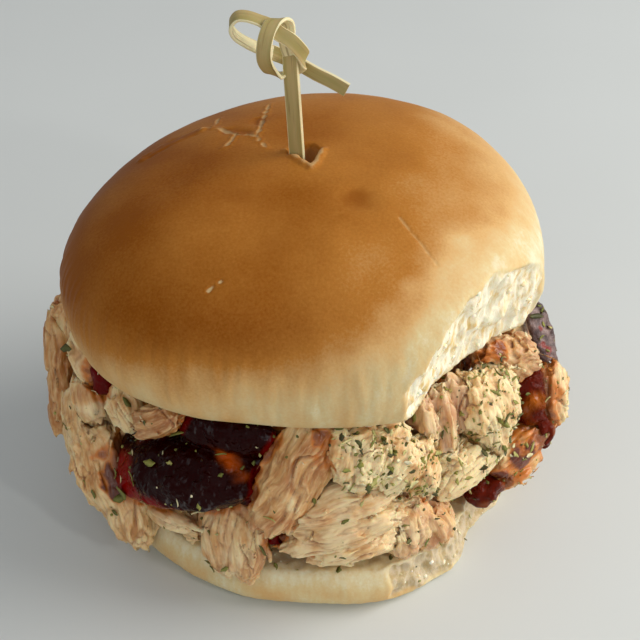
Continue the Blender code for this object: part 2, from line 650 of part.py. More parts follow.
def flake_rays(name, lobes, count):
    """(start, direction, length, width, spin) of each flake that may lie on a piece, by a seeded draw."""
    draw = random.Random(name)
    rays = []
    for _ in range(count):
        lobe = lobes[draw.randrange(len(lobes))]
        facing = Vector(lobe.face).normalized()
        side = Vector(lobe.grain).normalized() * draw.uniform(-0.7, 0.7) * lobe.half[0]
        lift = facing.cross(Vector(lobe.grain)).normalized() * draw.uniform(-0.7, 0.7) * lobe.half[1]
        start = Vector(lobe.centre) + side + lift + facing * FLAKE_REACH
        size = draw.uniform(*FLAKE_LENGTH), draw.uniform(*FLAKE_WIDTH)
        rays.append((start, -facing, *size, draw.uniform(0, math.pi)))
    return rays


def flake_solid(place, normal, length, width, spin):
    """A pointed leaf lying on a surface, as a four-sided plate with bevelled ends."""
    along = normal.orthogonal().normalized()
    along.rotate(Matrix.Rotation(spin, 3, normal))
    across = normal.cross(along)
    outline = ((-0.5, 0.0), (-0.05, -0.5), (0.5, 0.0), (0.1, 0.5))
    rings = []
    for height in (-FLAKE_BELOW, FLAKE_ABOVE):
        lifted = place + normal * height
        rings.append([lifted + along * (length * a) + across * (width * b) for a, b in outline])
    return rings_to_solid(rings)


def add_flakes(pieces, groups, counts):
    """Fuses the herb leaves to the pieces that they lie on, clear of every other node."""
    for piece in pieces:
        if piece.name not in counts:
            continue
        count = counts[piece.name]
        own = surface_of(piece)
        others = [surface_of(obj) for obj in bpy.data.objects if obj != piece and not obj.hide_render]
        flakes = []
        taken = []
        rays = flake_rays(piece.name, groups[piece.name], FLAKE_TRIES * count)
        for start, direction, length, width, spin in rays:
            place, normal, _, _ = own.ray_cast(start, direction)
            if place is None or len(flakes) == count or normal.dot(direction) > -0.7:
                continue
            if any(tree.ray_cast(start, direction, FLAKE_REACH)[0] for tree in others):
                continue
            room = length / 2 + FLAKE_ROOM
            near_others = any(tree.find_nearest(place, room)[0] for tree in others)
            if near_others or any((place - spot).length < length for spot in taken):
                continue
            taken.append(place)
            flakes.append(object_from(flake_solid(place, normal, length, width, spin), "flake", helper=True))
        if flakes:
            boolean(piece, "UNION", flakes)
            remove(flakes)
            keep_largest(piece)


def surface_of(obj):
    """An object's surface in millimetres, for rays and distances."""
    corners = [vert.co / MM for vert in obj.data.vertices]
    return BVHTree.FromPolygons(corners, [list(face.vertices) for face in obj.data.polygons])


def box_of(obj):
    """The corners of an object's bounding box."""
    places = [vert.co for vert in obj.data.vertices]
    return [(min(p[i] for p in places), max(p[i] for p in places)) for i in range(3)]


def near(box, other):
    """Whether two bounding boxes meet."""
    return all(low < far and high > close for (low, high), (close, far) in zip(box, other))


def build_pieces(groups, shapers):
    """Joins each group's lobes into one piece and cuts it to fit every shaper near it."""
    made = []
    for name, lobes in groups.items():
        piece = object_from(lobes[0].solid(), name)
        others = [object_from(lobe.solid(), "lobe", helper=True) for lobe in lobes[1:]]
        if others:
            boolean(piece, "UNION", others)
            remove(others)
        box = box_of(piece)
        cutters = [shaper for shaper in shapers if near(box, box_of(shaper))]
        boolean(piece, "DIFFERENCE", cutters)
        keep_largest(piece, FLAT_ANGLE)
        made.append(piece)
        shapers.extend(object_from(lobe.solid(GAP), "shaper", helper=True) for lobe in lobes)
    return made


def main():
    """Builds the slider from the bun inwards."""
    clear_scene()
    crust = material("bun crust", CRUST)
    chicken = material("pulled chicken", CHICKEN)
    skin = material("chicken skin", CHICKEN_SKIN)
    sauce = material("barbecue sauce", SAUCE)
    build_crown(crust)
    build_heel(crust)
    build_pick(material("bamboo", BAMBOO))
    build_bed(chicken)
    shapers = [
        object_from(crown_solid(GAP), "shaper", helper=True),
        object_from(heel_solid(GAP), "shaper", helper=True),
        object_from(bed_solid(GAP), "shaper", helper=True),
    ]
    chunks = {**CHUNKS, **back_chunks()}
    pieces = [(piece, chicken) for piece in build_pieces(chunks, shapers)]
    pieces += [(piece, skin) for piece in build_pieces(SKINS, shapers)]
    pieces += [(piece, sauce) for piece in build_pieces(SAUCES, shapers)]
    remove(shapers)
    counts = {**FLAKES, **{name: BACK_FLAKES for name in back_chunks()}}
    add_flakes([piece for piece, _ in pieces], {**chunks, **SAUCES}, counts)
    for piece, look in pieces:
        finish(piece, look)


main()
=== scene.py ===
"""Looks of a barbecue chicken slider: a bitten bun, pulled chicken, sauce and a knotted bamboo pick.

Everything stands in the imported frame: metres, +Z up, the origin under the bun's centre on its flat
underside. Shapes are worked out in millimetres and written to the meshes in metres.
"""

import itertools
import json
import logging
import math
import random
from dataclasses import dataclass, field
from enum import Enum
from typing import Callable, Iterable, Sequence

import bmesh
import bpy
import numpy as np
from bpy.types import Material, Node, NodeSocket, NodeTree, Object
from mathutils import Euler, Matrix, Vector, noise
from mathutils.bvhtree import BVHTree

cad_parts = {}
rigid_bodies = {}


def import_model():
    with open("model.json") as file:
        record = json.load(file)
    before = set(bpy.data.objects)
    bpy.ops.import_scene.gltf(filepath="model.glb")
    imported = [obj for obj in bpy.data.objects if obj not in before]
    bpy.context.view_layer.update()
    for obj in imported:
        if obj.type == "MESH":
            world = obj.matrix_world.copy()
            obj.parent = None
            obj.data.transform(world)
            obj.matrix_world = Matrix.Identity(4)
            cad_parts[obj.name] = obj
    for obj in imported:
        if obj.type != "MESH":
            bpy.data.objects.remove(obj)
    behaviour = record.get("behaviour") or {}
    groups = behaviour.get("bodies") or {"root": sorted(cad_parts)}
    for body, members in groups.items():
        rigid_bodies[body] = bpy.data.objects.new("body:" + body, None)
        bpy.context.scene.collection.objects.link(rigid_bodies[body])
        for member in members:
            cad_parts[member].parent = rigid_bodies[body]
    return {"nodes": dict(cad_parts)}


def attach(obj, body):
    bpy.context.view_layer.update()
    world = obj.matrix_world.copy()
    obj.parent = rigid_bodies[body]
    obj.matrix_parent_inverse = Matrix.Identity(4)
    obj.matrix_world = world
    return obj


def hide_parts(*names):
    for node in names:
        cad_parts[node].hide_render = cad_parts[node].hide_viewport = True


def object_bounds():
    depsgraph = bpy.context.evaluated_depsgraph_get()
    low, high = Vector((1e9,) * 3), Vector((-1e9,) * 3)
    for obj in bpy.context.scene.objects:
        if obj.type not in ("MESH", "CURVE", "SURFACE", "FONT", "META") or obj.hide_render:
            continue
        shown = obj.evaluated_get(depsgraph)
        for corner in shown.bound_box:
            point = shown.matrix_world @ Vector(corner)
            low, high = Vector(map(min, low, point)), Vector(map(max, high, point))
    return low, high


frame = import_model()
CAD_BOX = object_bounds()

Array = np.ndarray
Colour = tuple[float, float, float, float]
Shape = tuple[np.ndarray, list[list[int]]]  # points and faces

LOG = logging.getLogger("slider")
MM = 0.001  # metres in one millimetre
BODY = "root"
SEGMENTS = 180  # points round each half of the bun
ANGLES = np.linspace(0, 2 * math.pi, SEGMENTS + 1)[:-1]
CRUMB_SIZES = (0.7, 0.5, 0.9)  # millimetres, of the loose crumbs in the bite


# --- colour and numbers ---
def shade(red: int, green: int, blue: int) -> Colour:
    """A display colour as the linear colour that shaders take.

    Args:
        red: Its red, 0 to 255.
        green: Its green.
        blue: Its blue.

    Returns:
        Red, green, blue and 1.
    """
    linear = []
    for channel in (red, green, blue):
        value = channel / 255
        linear.append(value / 12.92 if value <= 0.04045 else ((value + 0.055) / 1.055) ** 2.4)
    return (*linear, 1.0)


def ease(low: float, high: float, values: Array) -> Array:
    """A smooth step from 0 at low to 1 at high; low may be the larger."""
    share = np.clip((values - low) / (high - low), 0.0, 1.0)
    return share * share * (3.0 - 2.0 * share)


def unit(vectors: Array) -> Array:
    """Vectors scaled to length 1, along their last axis."""
    return vectors / np.maximum(np.linalg.norm(vectors, axis=-1, keepdims=True), 1e-9)


class Noise:
    """Smooth noise of about -1 to 1 over points, always the same for one seed.

    The seeds below mean nothing else: each keeps one pattern apart from the others.
    """

    def __init__(self, seed: int) -> None:
        """Draws the pattern.

        Args:
            seed: Fixes it.
        """
        draw = np.random.default_rng(seed)
        self.order = draw.permutation(256)
        self.slopes = unit(draw.normal(size=(256, 3)))

    def at(self, points: Array, wavelength: float | Sequence[float] = 1.0) -> Array:
        """The noise at points.

        Args:
            points: Places, one a row.
            wavelength: Size of the pattern, or one size for each axis.

        Returns:
            One value a point.
        """
        scaled = points / np.asarray(wavelength)
        cell = np.floor(scaled).astype(np.int64)
        part = scaled - cell
        fade = part**3 * (part * (part * 6 - 15) + 10)
        total = np.zeros(len(points))
        for corner in itertools.product((0, 1), repeat=3):
            spot = (cell + corner) & 255
            row = self.order[spot[:, 0]]
            row = self.order[(row + spot[:, 1]) & 255]
            row = self.order[(row + spot[:, 2]) & 255]
            weight = np.prod(np.where(corner, fade, 1 - fade), axis=1)
            total += weight * np.einsum("ij,ij->i", self.slopes[row], part - corner)
        return total * 1.7


def distance_to_path(points: Array, path: Sequence[Sequence[float]]) -> Array:
    """How far each point is from a path.

    Args:
        points: Places, one a row.
        path: Its corners; it is straight between them.

    Returns:
        One distance a point.
    """
    corners = np.asarray(path, float)
    nearest = np.full(len(points), 1e9)
    for start, end in zip(corners, corners[1:]):
        run = end - start
        share = np.clip((points - start) @ run / max(run @ run, 1e-9), 0, 1)
        nearest = np.minimum(nearest, np.linalg.norm(points - start - share[:, None] * run, axis=1))
    return nearest


def loft(rings: Array) -> Shape:
    """A closed skin over rings of points.

    Args:
        rings: Ring, point and axis; every ring has the same count of points.

    Returns:
        Points and faces, with the two ends closed to the middles of their rings.
    """
    count, around, _ = rings.shape
    index = np.arange(count * around).reshape(count, around)
    ahead = np.roll(index, -1, axis=1)
    faces = np.stack([index[:-1], ahead[:-1], ahead[1:], index[1:]], axis=-1).reshape(-1, 4).tolist()
    first, last = count * around, count * around + 1
    faces += [[b, a, first] for a, b in zip(index[0], ahead[0])]
    faces += [[a, b, last] for a, b in zip(index[-1], ahead[-1])]
    points = np.vstack([rings.reshape(-1, 3), rings[[0, -1]].mean(axis=1)])
    return points, [[int(i) for i in face] for face in faces]


def ring_at(far: Array, height: float) -> Array:
    """A level ring of points round the bun's axis.

    Args:
        far: How far each of its points is from the axis.
        height: Its height.

    Returns:
        Its points.
    """
    return np.column_stack([far * np.cos(ANGLES), far * np.sin(ANGLES), np.full(SEGMENTS, height)])


# --- meshes ---
def gather(items: object, key: str, width: int = 1, kind: type = np.float32) -> Array:
    """Reads one property of every item of a mesh.

    Args:
        items: Its points, edges, faces, corners or stored numbers.
        key: The property.
        width: How many numbers the property has.
        kind: Their type.

    Returns:
        One number an item, or one row where width is over 1.
    """
    flat = np.empty(len(items) * width, kind)
    items.foreach_get(key, flat)
    return flat.reshape(-1, width) if width > 1 else flat


class Sculpt:
    """A mesh object whose points are shaped in millimetres."""

    def __init__(self, name: str, points: Array, faces: Sequence[Sequence[int]]) -> None:
        """Makes the mesh object.

        Args:
            name: Its name.
            points: Its points, in millimetres.
            faces: The points of each face.
        """
        mesh = bpy.data.meshes.new(name)
        mesh.from_pydata((np.asarray(points) * MM).tolist(), [], faces)
        build = bmesh.new()
        build.from_mesh(mesh)
        bmesh.ops.recalc_face_normals(build, faces=build.faces)
        build.to_mesh(mesh)
        build.free()
        self.object = bpy.data.objects.new(name, mesh)
        bpy.context.scene.collection.objects.link(self.object)

    @classmethod
    def of_parts(cls, name: str, parts: Iterable[Shape]) -> "Sculpt":
        """One object from several shapes.

        Args:
            name: Its name.
            parts: Points and faces of each shape.

        Returns:
            The object.
        """
        points, faces, start = [], [], 0
        for places, corners in parts:
            points.append(places)
            faces.extend([[i + start for i in face] for face in corners])
            start += len(places)
        return cls(name, np.vstack(points), faces)

    @property
    def points(self) -> Array:
        """Every point, in millimetres."""
        return gather(self.object.data.vertices, "co", 3).astype(float) / MM

    @points.setter
    def points(self, places: Array) -> None:
        """Moves every point, in millimetres."""
        self.object.data.vertices.foreach_set("co", (places * MM).astype(np.float32).ravel())
        self.object.data.update()

    @property
    def normals(self) -> Array:
        """The outward direction at every point."""
        return gather(self.object.data.vertex_normals, "vector", 3).astype(float)

    @property
    def edges(self) -> Array:
        """The two points of every edge."""
        return gather(self.object.data.edges, "vertices", 2, np.int32)

    def apply(self, kind: str, **settings: object) -> None:
        """Adds a modifier and makes its result the mesh.

        Args:
            kind: The modifier's type.
            **settings: Its settings.
        """
        modifier = self.object.modifiers.new(kind.lower(), kind)
        for key, value in settings.items():
            setattr(modifier, key, value)
        graph = bpy.context.evaluated_depsgraph_get()
        made = bpy.data.meshes.new_from_object(self.object.evaluated_get(graph))
        self.object.modifiers.clear()
        old = self.object.data
        self.object.data = made
        bpy.data.meshes.remove(old)

    def remesh(self, voxel: float) -> None:
        """Makes it one even closed skin with faces of about voxel millimetres."""
        self.apply("REMESH", mode="VOXEL", voxel_size=voxel * MM)

    def cut(self, cutters: Sequence["Sculpt"]) -> None:
        """Cuts other pieces away, and removes them.

        Args:
            cutters: The pieces.
        """
        for cutter in cutters:
            self.apply("BOOLEAN", operation="DIFFERENCE", solver="MANIFOLD", object=cutter.object)
            cutter.remove()

    def remove(self) -> None:
        """Takes the object out of the scene."""
        mesh = self.object.data
        bpy.data.objects.remove(self.object)
        bpy.data.meshes.remove(mesh)

    def spread(self, values: Array, rounds: int) -> Array:
        """Evens values out with their neighbours'.

        Args:
            values: One number, or one row, a point.
            rounds: How many times.

        Returns:
            The evened values.
        """
        edges = self.edges
        size = len(values)
        share = np.maximum(np.bincount(edges.ravel(), minlength=size), 1)
        columns = values.reshape(size, -1).astype(float)
        for _ in range(rounds):
            total = np.empty_like(columns)
            for k in range(columns.shape[1]):
                total[:, k] = np.bincount(edges[:, 0], columns[edges[:, 1], k], size)
                total[:, k] += np.bincount(edges[:, 1], columns[edges[:, 0], k], size)
            columns = 0.5 * columns + 0.5 * total / share[:, None]
        return columns.reshape(values.shape)

    def relax(self, rounds: int) -> None:
        """Rounds the shape off."""
        self.points = self.spread(self.points, rounds)

    def refine(self, near: Array) -> None:
        """Halves the edges whose two ends are both marked.

        Args:
            near: Whether each point is marked.
        """
        build = bmesh.new()
        build.from_mesh(self.object.data)
        build.verts.ensure_lookup_table()
        chosen = [edge for edge in build.edges if all(near[vert.index] for vert in edge.verts)]
        bmesh.ops.subdivide_edges(build, edges=chosen, cuts=1, use_grid_fill=True)
        bmesh.ops.triangulate(build, faces=[face for face in build.faces if len(face.verts) > 4])
        build.to_mesh(self.object.data)
        build.free()

    def tree(self) -> BVHTree:
        """Its surface in millimetres, for rays and distances."""
        return surface_tree(self.object)

    def paint(self, name: str, values: Array) -> None:
        """Stores a number, or three, at every point, for a material or a scatter to read.

        Args:
            name: What they are called.
            values: One number, or one row, a point.
        """
        kind, key = ("FLOAT_VECTOR", "vector") if values.ndim == 2 else ("FLOAT", "value")
        layer = self.object.data.attributes.new(name, kind, "POINT")
        layer.data.foreach_set(key, values.astype(np.float32).ravel())

    def settle(self, material: Material, slot: str, *nodes: str) -> Object:
        """Finishes the piece: inside the part's box, smooth, dressed and riding on the frame.

        Args:
            material: Its finish.
            slot: The record's material slot; not used.
            nodes: CAD nodes that it stands for.

        Returns:
            The finished object.
        """
        low, high = (np.array(corner) / MM for corner in CAD_BOX)
        self.points = np.clip(self.points, low, high)
        mesh = self.object.data
        mesh.materials.clear()
        mesh.materials.append(material)
        mesh.shade_smooth()
        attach(self.object, BODY)
        if nodes:
            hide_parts(*nodes)
        LOG.info("%s: %d faces", self.object.name, len(mesh.polygons))
        return self.object


def surface_tree(obj: Object) -> BVHTree:
    """An object's surface in millimetres, for rays and distances.

    Args:
        obj: The object.

    Returns:
        The surface.
    """
    mesh = obj.data
    corners = [vert.co / MM for vert in mesh.vertices]
    return BVHTree.FromPolygons(corners, [list(face.vertices) for face in mesh.polygons])


def node_shape(name: str) -> Shape:
    """The shape of a CAD node, its loose triangles joined.

    Args:
        name: The node.

    Returns:
        Points, in millimetres, and faces.
    """
    build = bmesh.new()
    build.from_mesh(frame["nodes"][name].data)
    bmesh.ops.remove_doubles(build, verts=build.verts, dist=0.002 * MM)
    build.verts.index_update()
    points = np.array([vert.co[:] for vert in build.verts]) / MM
    faces = [[vert.index for vert in face.verts] for face in build.faces]
    build.free()
    return points, faces


def gap_to(points: Array, trees: Sequence[BVHTree], reach: float) -> Array:
    """How far each point is from the nearest of some surfaces.

    Args:
        points: Places, one a row.
        trees: The surfaces.
        reach: The largest distance of interest.

    Returns:
        One distance a point, at most reach.
    """
    found = np.full(len(points), reach)
    for i, point in enumerate(points):
        for tree in trees:
            distance = tree.find_nearest(point, found[i])[3]
            if distance is not None:
                found[i] = distance
    return found


# --- shaders ---
def add_node(tree: NodeTree, kind: str, settings: dict | None = None,
             inputs: dict | None = None) -> Node:
    """Adds a node to a tree of shader or geometry nodes.

    Args:
        tree: The tree.
        kind: The node's type.
        settings: Its settings, which are set first; "stops" fills a colour ramp.
        inputs: Values, fields or links of its sockets, by name or number.

    Returns:
        The node.
    """
    made = tree.nodes.new(kind)
    for key, value in (settings or {}).items():
        if key == "stops":
            ramp = made.color_ramp.elements
            while len(ramp) > 1:
                ramp.remove(ramp[-1])
            ramp[0].position, ramp[0].color = value[0]
            for position, colour in value[1:]:
                ramp.new(position).color = colour
        else:
            setattr(made, key, value)
    for key, value in (inputs or {}).items():
        source = value.socket if isinstance(value, Field) else value
        if isinstance(source, NodeSocket):
            tree.links.new(source, made.inputs[key])
        else:
            made.inputs[key].default_value = source
    return made


@dataclass(frozen=True)
class Field:
    """A number that varies over a surface; sums, differences and products of fields add nodes."""

    recipe: "Recipe"
    socket: NodeSocket

    def _math(self, operation: str, *values: "Field | float") -> "Field":
        """The field that one Math node makes of these values."""
        made = self.recipe.node("ShaderNodeMath", {"operation": operation}, dict(enumerate(values)))
        return Field(self.recipe, made.outputs[0])

    def __add__(self, other: "Field | float") -> "Field":
        """Sum."""
        return self._math("ADD", self, other)

    __radd__ = __add__

    def __mul__(self, other: "Field | float") -> "Field":
        """Product."""
        return self._math("MULTIPLY", self, other)

    __rmul__ = __mul__

    def __sub__(self, other: "Field | float") -> "Field":
        """Difference."""
        return self._math("SUBTRACT", self, other)

    def __rsub__(self, other: float) -> "Field":
        """Difference from a plain number."""
        return self._math("SUBTRACT", other, self)

    def between(self, low: float, high: float) -> "Field":
        """A smooth step.

        Args:
            low: Where it is 0.
            high: Where it is 1; it may be the smaller.

        Returns:
            The step.
        """
        made = self.recipe.node(
            "ShaderNodeMapRange",
            {"interpolation_type": "SMOOTHSTEP", "clamp": True},
            {"Value": self, "From Min": low, "From Max": high, "To Min": 0.0, "To Max": 1.0},
        )
        return Field(self.recipe, made.outputs["Result"])


class Recipe:
    """The nodes of one finish."""

    def __init__(self, name: str) -> None:
        """Starts the material.

        Args:
            name: Its name.
        """
        self.material = bpy.data.materials.new(name)
        self.material.use_nodes = True
        self.tree = self.material.node_tree
        self.tree.nodes.clear()
        self.place = self.node("ShaderNodeTexCoord").outputs["Object"]

    def node(self, kind: str, settings: dict | None = None, inputs: dict | None = None) -> Node:
        """Adds a node to the finish."""
        return add_node(self.tree, kind, settings, inputs)

    def painted(self, name: str) -> Field:
        """A number stored at the points of the piece."""
        made = self.node("ShaderNodeAttribute", {"attribute_name": name})
        return Field(self, made.outputs["Fac"])

    def direction(self, name: str) -> NodeSocket:
        """Three numbers stored at the points of the piece."""
        return self.node("ShaderNodeAttribute", {"attribute_name": name}).outputs["Vector"]

    def noise(self, size: float, detail: float = 3.0, stretch: Sequence[float] = (1, 1, 1),
              place: NodeSocket | None = None, unit_size: float = MM) -> Field:
        """Noise of 0 to 1.

        Args:
            size: Its pattern's size, in millimetres.
            detail: How many finer layers it has.
            stretch: How many times longer the pattern is along each axis.
            place: Where it is read, if not at the object's own coordinates.
            unit_size: One millimetre in the units of place.

        Returns:
            The noise.
        """
        scale = tuple(1 / (size * unit_size * axis) for axis in stretch)
        scaled = self.node(
            "ShaderNodeVectorMath", {"operation": "MULTIPLY"}, {0: place or self.place, 1: scale}
        )
        made = self.node(
            "ShaderNodeTexNoise",
            {"noise_dimensions": "3D"},
            {"Vector": scaled.outputs[0], "Scale": 1.0, "Detail": detail, "Roughness": 0.55},
        )
        return Field(self, made.outputs[0])

    def cells(self, size: float) -> Field:
        """The distance to the nearest of scattered spots, 0 to about 1, spaced size millimetres."""
        inputs = {"Vector": self.place, "Scale": 1 / (size * MM)}
        return Field(self, self.node("ShaderNodeTexVoronoi", {}, inputs).outputs["Distance"])

    def ramp(self, along: Field, *stops: tuple[float, Colour]) -> NodeSocket:
        """A colour that follows a number through stops."""
        return self.node("ShaderNodeValToRGB", {"stops": stops}, {0: along}).outputs[0]

    def mix(self, share: Field, first: object, second: object) -> NodeSocket:
        """The first colour going over to the second as share goes from 0 to 1."""
        made = self.node("ShaderNodeMix", {"data_type": "RGBA"}, {0: share, 6: first, 7: second})
        return made.outputs[2]

    def relief(self, *layers: tuple[Field, float]) -> NodeSocket:
        """A bumpy normal.

        Args:
            *layers: Heights of 0 to 1, and how high each is in millimetres.

        Returns:
            The normal.
        """
        normal = None
        for height, amount in layers:
            inputs = {"Height": height, "Distance": amount * MM, "Strength": 1.0}
            if normal is not None:
                inputs["Normal"] = normal
            normal = self.node("ShaderNodeBump", {}, inputs).outputs[0]
        return normal

    def surface(self, **inputs: object) -> Material:
        """Ends the recipe in one Principled surface.

        Args:
            **inputs: Its inputs; an underscore in a name stands for a space.

        Returns:
            The material.
        """
        named = {key.replace("_", " "): value for key, value in inputs.items()}
        shader = self.node("ShaderNodeBsdfPrincipled", {"subsurface_method": "RANDOM_WALK"}, named)
        self.node("ShaderNodeOutputMaterial", {}, {"Surface": shader.outputs[0]})
        return self.material


@dataclass(frozen=True)
class BreadFinish:
    """Baked crust over white crumb.

    The piece stores crust (how browned, 0 to 1; on the crown also darker towards -X as painted
    shade), crumb (1 where torn open), scar (pale cracked skin) and the darker marks, painted shadow
    beside the cracks among them.
    """

    name: str = "bread"
    pale: Colour = shade(230, 221, 188)
    straw: Colour = shade(221, 198, 147)
    golden: Colour = shade(216, 172, 112)
    brown: Colour = shade(182, 119, 48)
    dark: Colour = shade(142, 77, 4)
    # Colour of the darker marks and of the painted shadow beside the cracks.
    scorch_and_shade_colour: Colour = shade(136, 72, 4)
    crumb_light: Colour = shade(250, 241, 214)
    # Painted shade of the crumb's pores.
    crumb_pore_shade: Colour = shade(228, 196, 130)

    def make(self) -> Material:
        """Builds its nodes.

        Returns:
            The material.
        """
        recipe = Recipe(self.name)
        crust = recipe.painted("crust")
        crumb = recipe.painted("crumb").between(0.10, 0.80)
        mottle = recipe.noise(9.0, 4.0) - 0.5
        grain = recipe.noise(0.45, 4.0) - 0.5
        streaks = recipe.noise(1.1, 3.0, (1, 1, 4)) - 0.5
        level = crust + mottle * 0.20 + grain * 0.22 + streaks * crust.between(0.5, 0.1) * 0.46
        skin = recipe.ramp(
            level,
            (0.0, self.pale), (0.22, self.straw), (0.46, self.golden),
            (0.74, self.brown), (1.0, self.dark),
        )
        # Darker marks, painted shadow beside the cracks among them.
        skin = recipe.mix(recipe.painted("scorch"), skin, self.scorch_and_shade_colour)
        skin = recipe.mix(recipe.painted("scar"), skin, self.straw)
        # The crumb is darker and more golden in its pores: painted shade in the hollows.
        pore_shade = recipe.noise(1.2, 5.0, (1, 1, 3.2))
        inside = recipe.mix(pore_shade.between(0.30, 0.56), self.crumb_pore_shade, self.crumb_light)
        colour = recipe.mix(crumb, skin, inside)
        skin_relief = recipe.noise(0.5, 3.0) * (1.0 - crumb)
        crumb_relief = recipe.noise(0.8, 6.0) * crumb
        return recipe.surface(
            Base_Color=colour,
            Roughness=0.50 + crumb * 0.4,
            Subsurface_Weight=0.2,
            Subsurface_Radius=(1.0, 0.6, 0.3),
            Subsurface_Scale=0.0012,
            Specular_IOR_Level=0.09,
            Normal=recipe.relief((skin_relief, 0.04), (crumb_relief, 0.22)),
        )


@dataclass(frozen=True)
class TornBreadFinish(BreadFinish):
    """The same with the darker, duller crumb of the heel."""

    name: str = "torn bread"
    crumb_light: Colour = shade(214, 196, 164)
    crumb_pore_shade: Colour = shade(192, 168, 122)


@dataclass(frozen=True)
class ChickenFinish:
    """Pulled chicken.

    The piece stores strand (its place along and across the fibres, in millimetres), painted shade
    (1 deep between fibres and in hollows), painted highlight (1 on bulges), and how pale, blushed,
    browned and stained it is, each 0 to 1.
    """

    name: str = "pulled chicken"
    meat: Colour = shade(220, 169, 106)
    pale: Colour = shade(246, 222, 170)
    blush: Colour = shade(196, 146, 116)
    brown: Colour = shade(184, 118, 54)
    # Painted shade in creases and hollows.
    crease: Colour = shade(136, 66, 24)
    thin_sauce: Colour = shade(204, 116, 26)
    thick_sauce: Colour = shade(92, 10, 4)
    speck: Colour = shade(92, 84, 36)

    def make(self) -> Material:
        """Builds its nodes.

        Returns:
            The material.
        """
        recipe = Recipe(self.name)
        strand = recipe.direction("strand")
        fibres = recipe.noise(0.36, 3.0, (10, 1, 1), strand, 1.0)
        bundles = recipe.noise(2.2, 2.0, (5, 1, 1), strand, 1.0)
        patches = recipe.noise(5.0, 3.0)
        stain = (recipe.painted("stain") * patches.between(0.2, 0.6)).between(-0.1, 1.1)
        threads = recipe.noise(1.2, 2.0, (8, 1, 1), strand, 1.0)
        tone = threads * 0.35 + patches * 1.1 - 0.21
        tone = tone + recipe.painted("pale") * 0.26 - recipe.painted("brown") * 0.22
        colour = recipe.ramp(tone, (0.24, self.brown), (0.46, self.meat), (0.70, self.pale))
        colour = recipe.mix(recipe.painted("blush") * bundles.between(0.3, 0.65), colour, self.blush)
        # Paler fibre tops, browner grooves, from the bump's noise: grain with painted highlight and
        # shade.
        colour = recipe.mix(fibres.between(0.50, 0.68) * 0.30, colour, self.pale)
        colour = recipe.mix(fibres.between(0.46, 0.34) * 0.22, colour, self.brown)
        # Painted highlight on bulges and painted shade in creases and hollows.
        colour = recipe.mix(recipe.painted("ridge") * 0.35, colour, self.pale)
        colour = recipe.mix(recipe.painted("crease") * 0.75, colour, self.crease)
        sauced = recipe.ramp(
            stain, (0.0, self.thin_sauce), (0.45, self.thin_sauce), (0.95, self.thick_sauce)
        )
        colour = recipe.mix(stain.between(0.08, 0.5) * 0.92, colour, sauced)
        specks = 1.0 - recipe.cells(1.5).between(0.07, 0.16)
        specks = specks * recipe.noise(3.0, 2.0).between(0.45, 0.6)
        colour = recipe.mix(specks * recipe.painted("season"), colour, self.speck)
        return recipe.surface(
            Base_Color=colour,
            Roughness=0.36 - stain * 0.20 + bundles * 0.10,
            Subsurface_Weight=0.35,
            Subsurface_Radius=(1.0, 0.45, 0.25),
            Subsurface_Scale=0.0016,
            Specular_IOR_Level=0.5,
            Normal=recipe.relief((bundles, 0.15), (fibres, 0.14)),
        )


@dataclass(frozen=True)
class SauceFinish:
    """Thick dark glossy sauce.

    The piece stores thin (1 where it thins out) and glow (1 where light comes through).
    """

    name: str = "barbecue sauce"
    deep: Colour = shade(34, 1, 0)
    red: Colour = shade(124, 5, 3)
    amber: Colour = shade(190, 80, 10)

    def make(self) -> Material:
        """Builds its nodes.

        Returns:
            The material.
        """
        recipe = Recipe(self.name)
        cloud = recipe.noise(5.0, 3.0)
        thin = recipe.painted("thin") + (cloud - 0.5) * 0.3
        colour = recipe.mix(thin.between(0.25, 0.95), self.deep, self.red)
        colour = recipe.mix(recipe.painted("glow"), colour, self.amber)
        wet = recipe.noise(3.6, 2.0).between(0.48, 0.62)
        return recipe.surface(
            Base_Color=colour,
            Roughness=0.05 + cloud * 0.09,
            Specular_IOR_Level=0.07,
            Coat_Weight=recipe.noise(1.3, 2.0, (1, 1, 2.2)).between(0.59, 0.74),
            Coat_Roughness=0.04,
            Normal=recipe.relief(
                (recipe.noise(1.5, 4.0), 0.28), (recipe.noise(0.9, 2.0) * wet, 0.50)
            ),
        )


@dataclass(frozen=True)
class ThinSauceFinish(SauceFinish):
    """The same sauce where it has run thin, redder and lighter."""

    name: str = "thin sauce"
    deep: Colour = shade(64, 12, 4)
    red: Colour = shade(104, 26, 6)
    amber: Colour = shade(190, 104, 26)


@dataclass(frozen=True)
class SkinFinish:
    """Dark roasted chicken skin with sauce on it."""

    name: str = "roasted skin"
    dark: Colour = shade(62, 36, 34)
    plum: Colour = shade(142, 116, 110)
    red: Colour = shade(132, 34, 18)

    def make(self) -> Material:
        """Builds its nodes.

        Returns:
            The material.
        """
        recipe = Recipe(self.name)
        cloud = recipe.noise(2.2, 4.0)
        colour = recipe.mix(cloud.between(0.35, 0.65), self.dark, self.plum)
        colour = recipe.mix(recipe.noise(3.1, 2.0).between(0.56, 0.66), colour, self.red)
        return recipe.surface(
            Base_Color=colour,
            Roughness=0.42 - cloud * 0.2,
            Specular_IOR_Level=0.5,
            Normal=recipe.relief((recipe.noise(1.0, 4.0), 0.5)),
        )


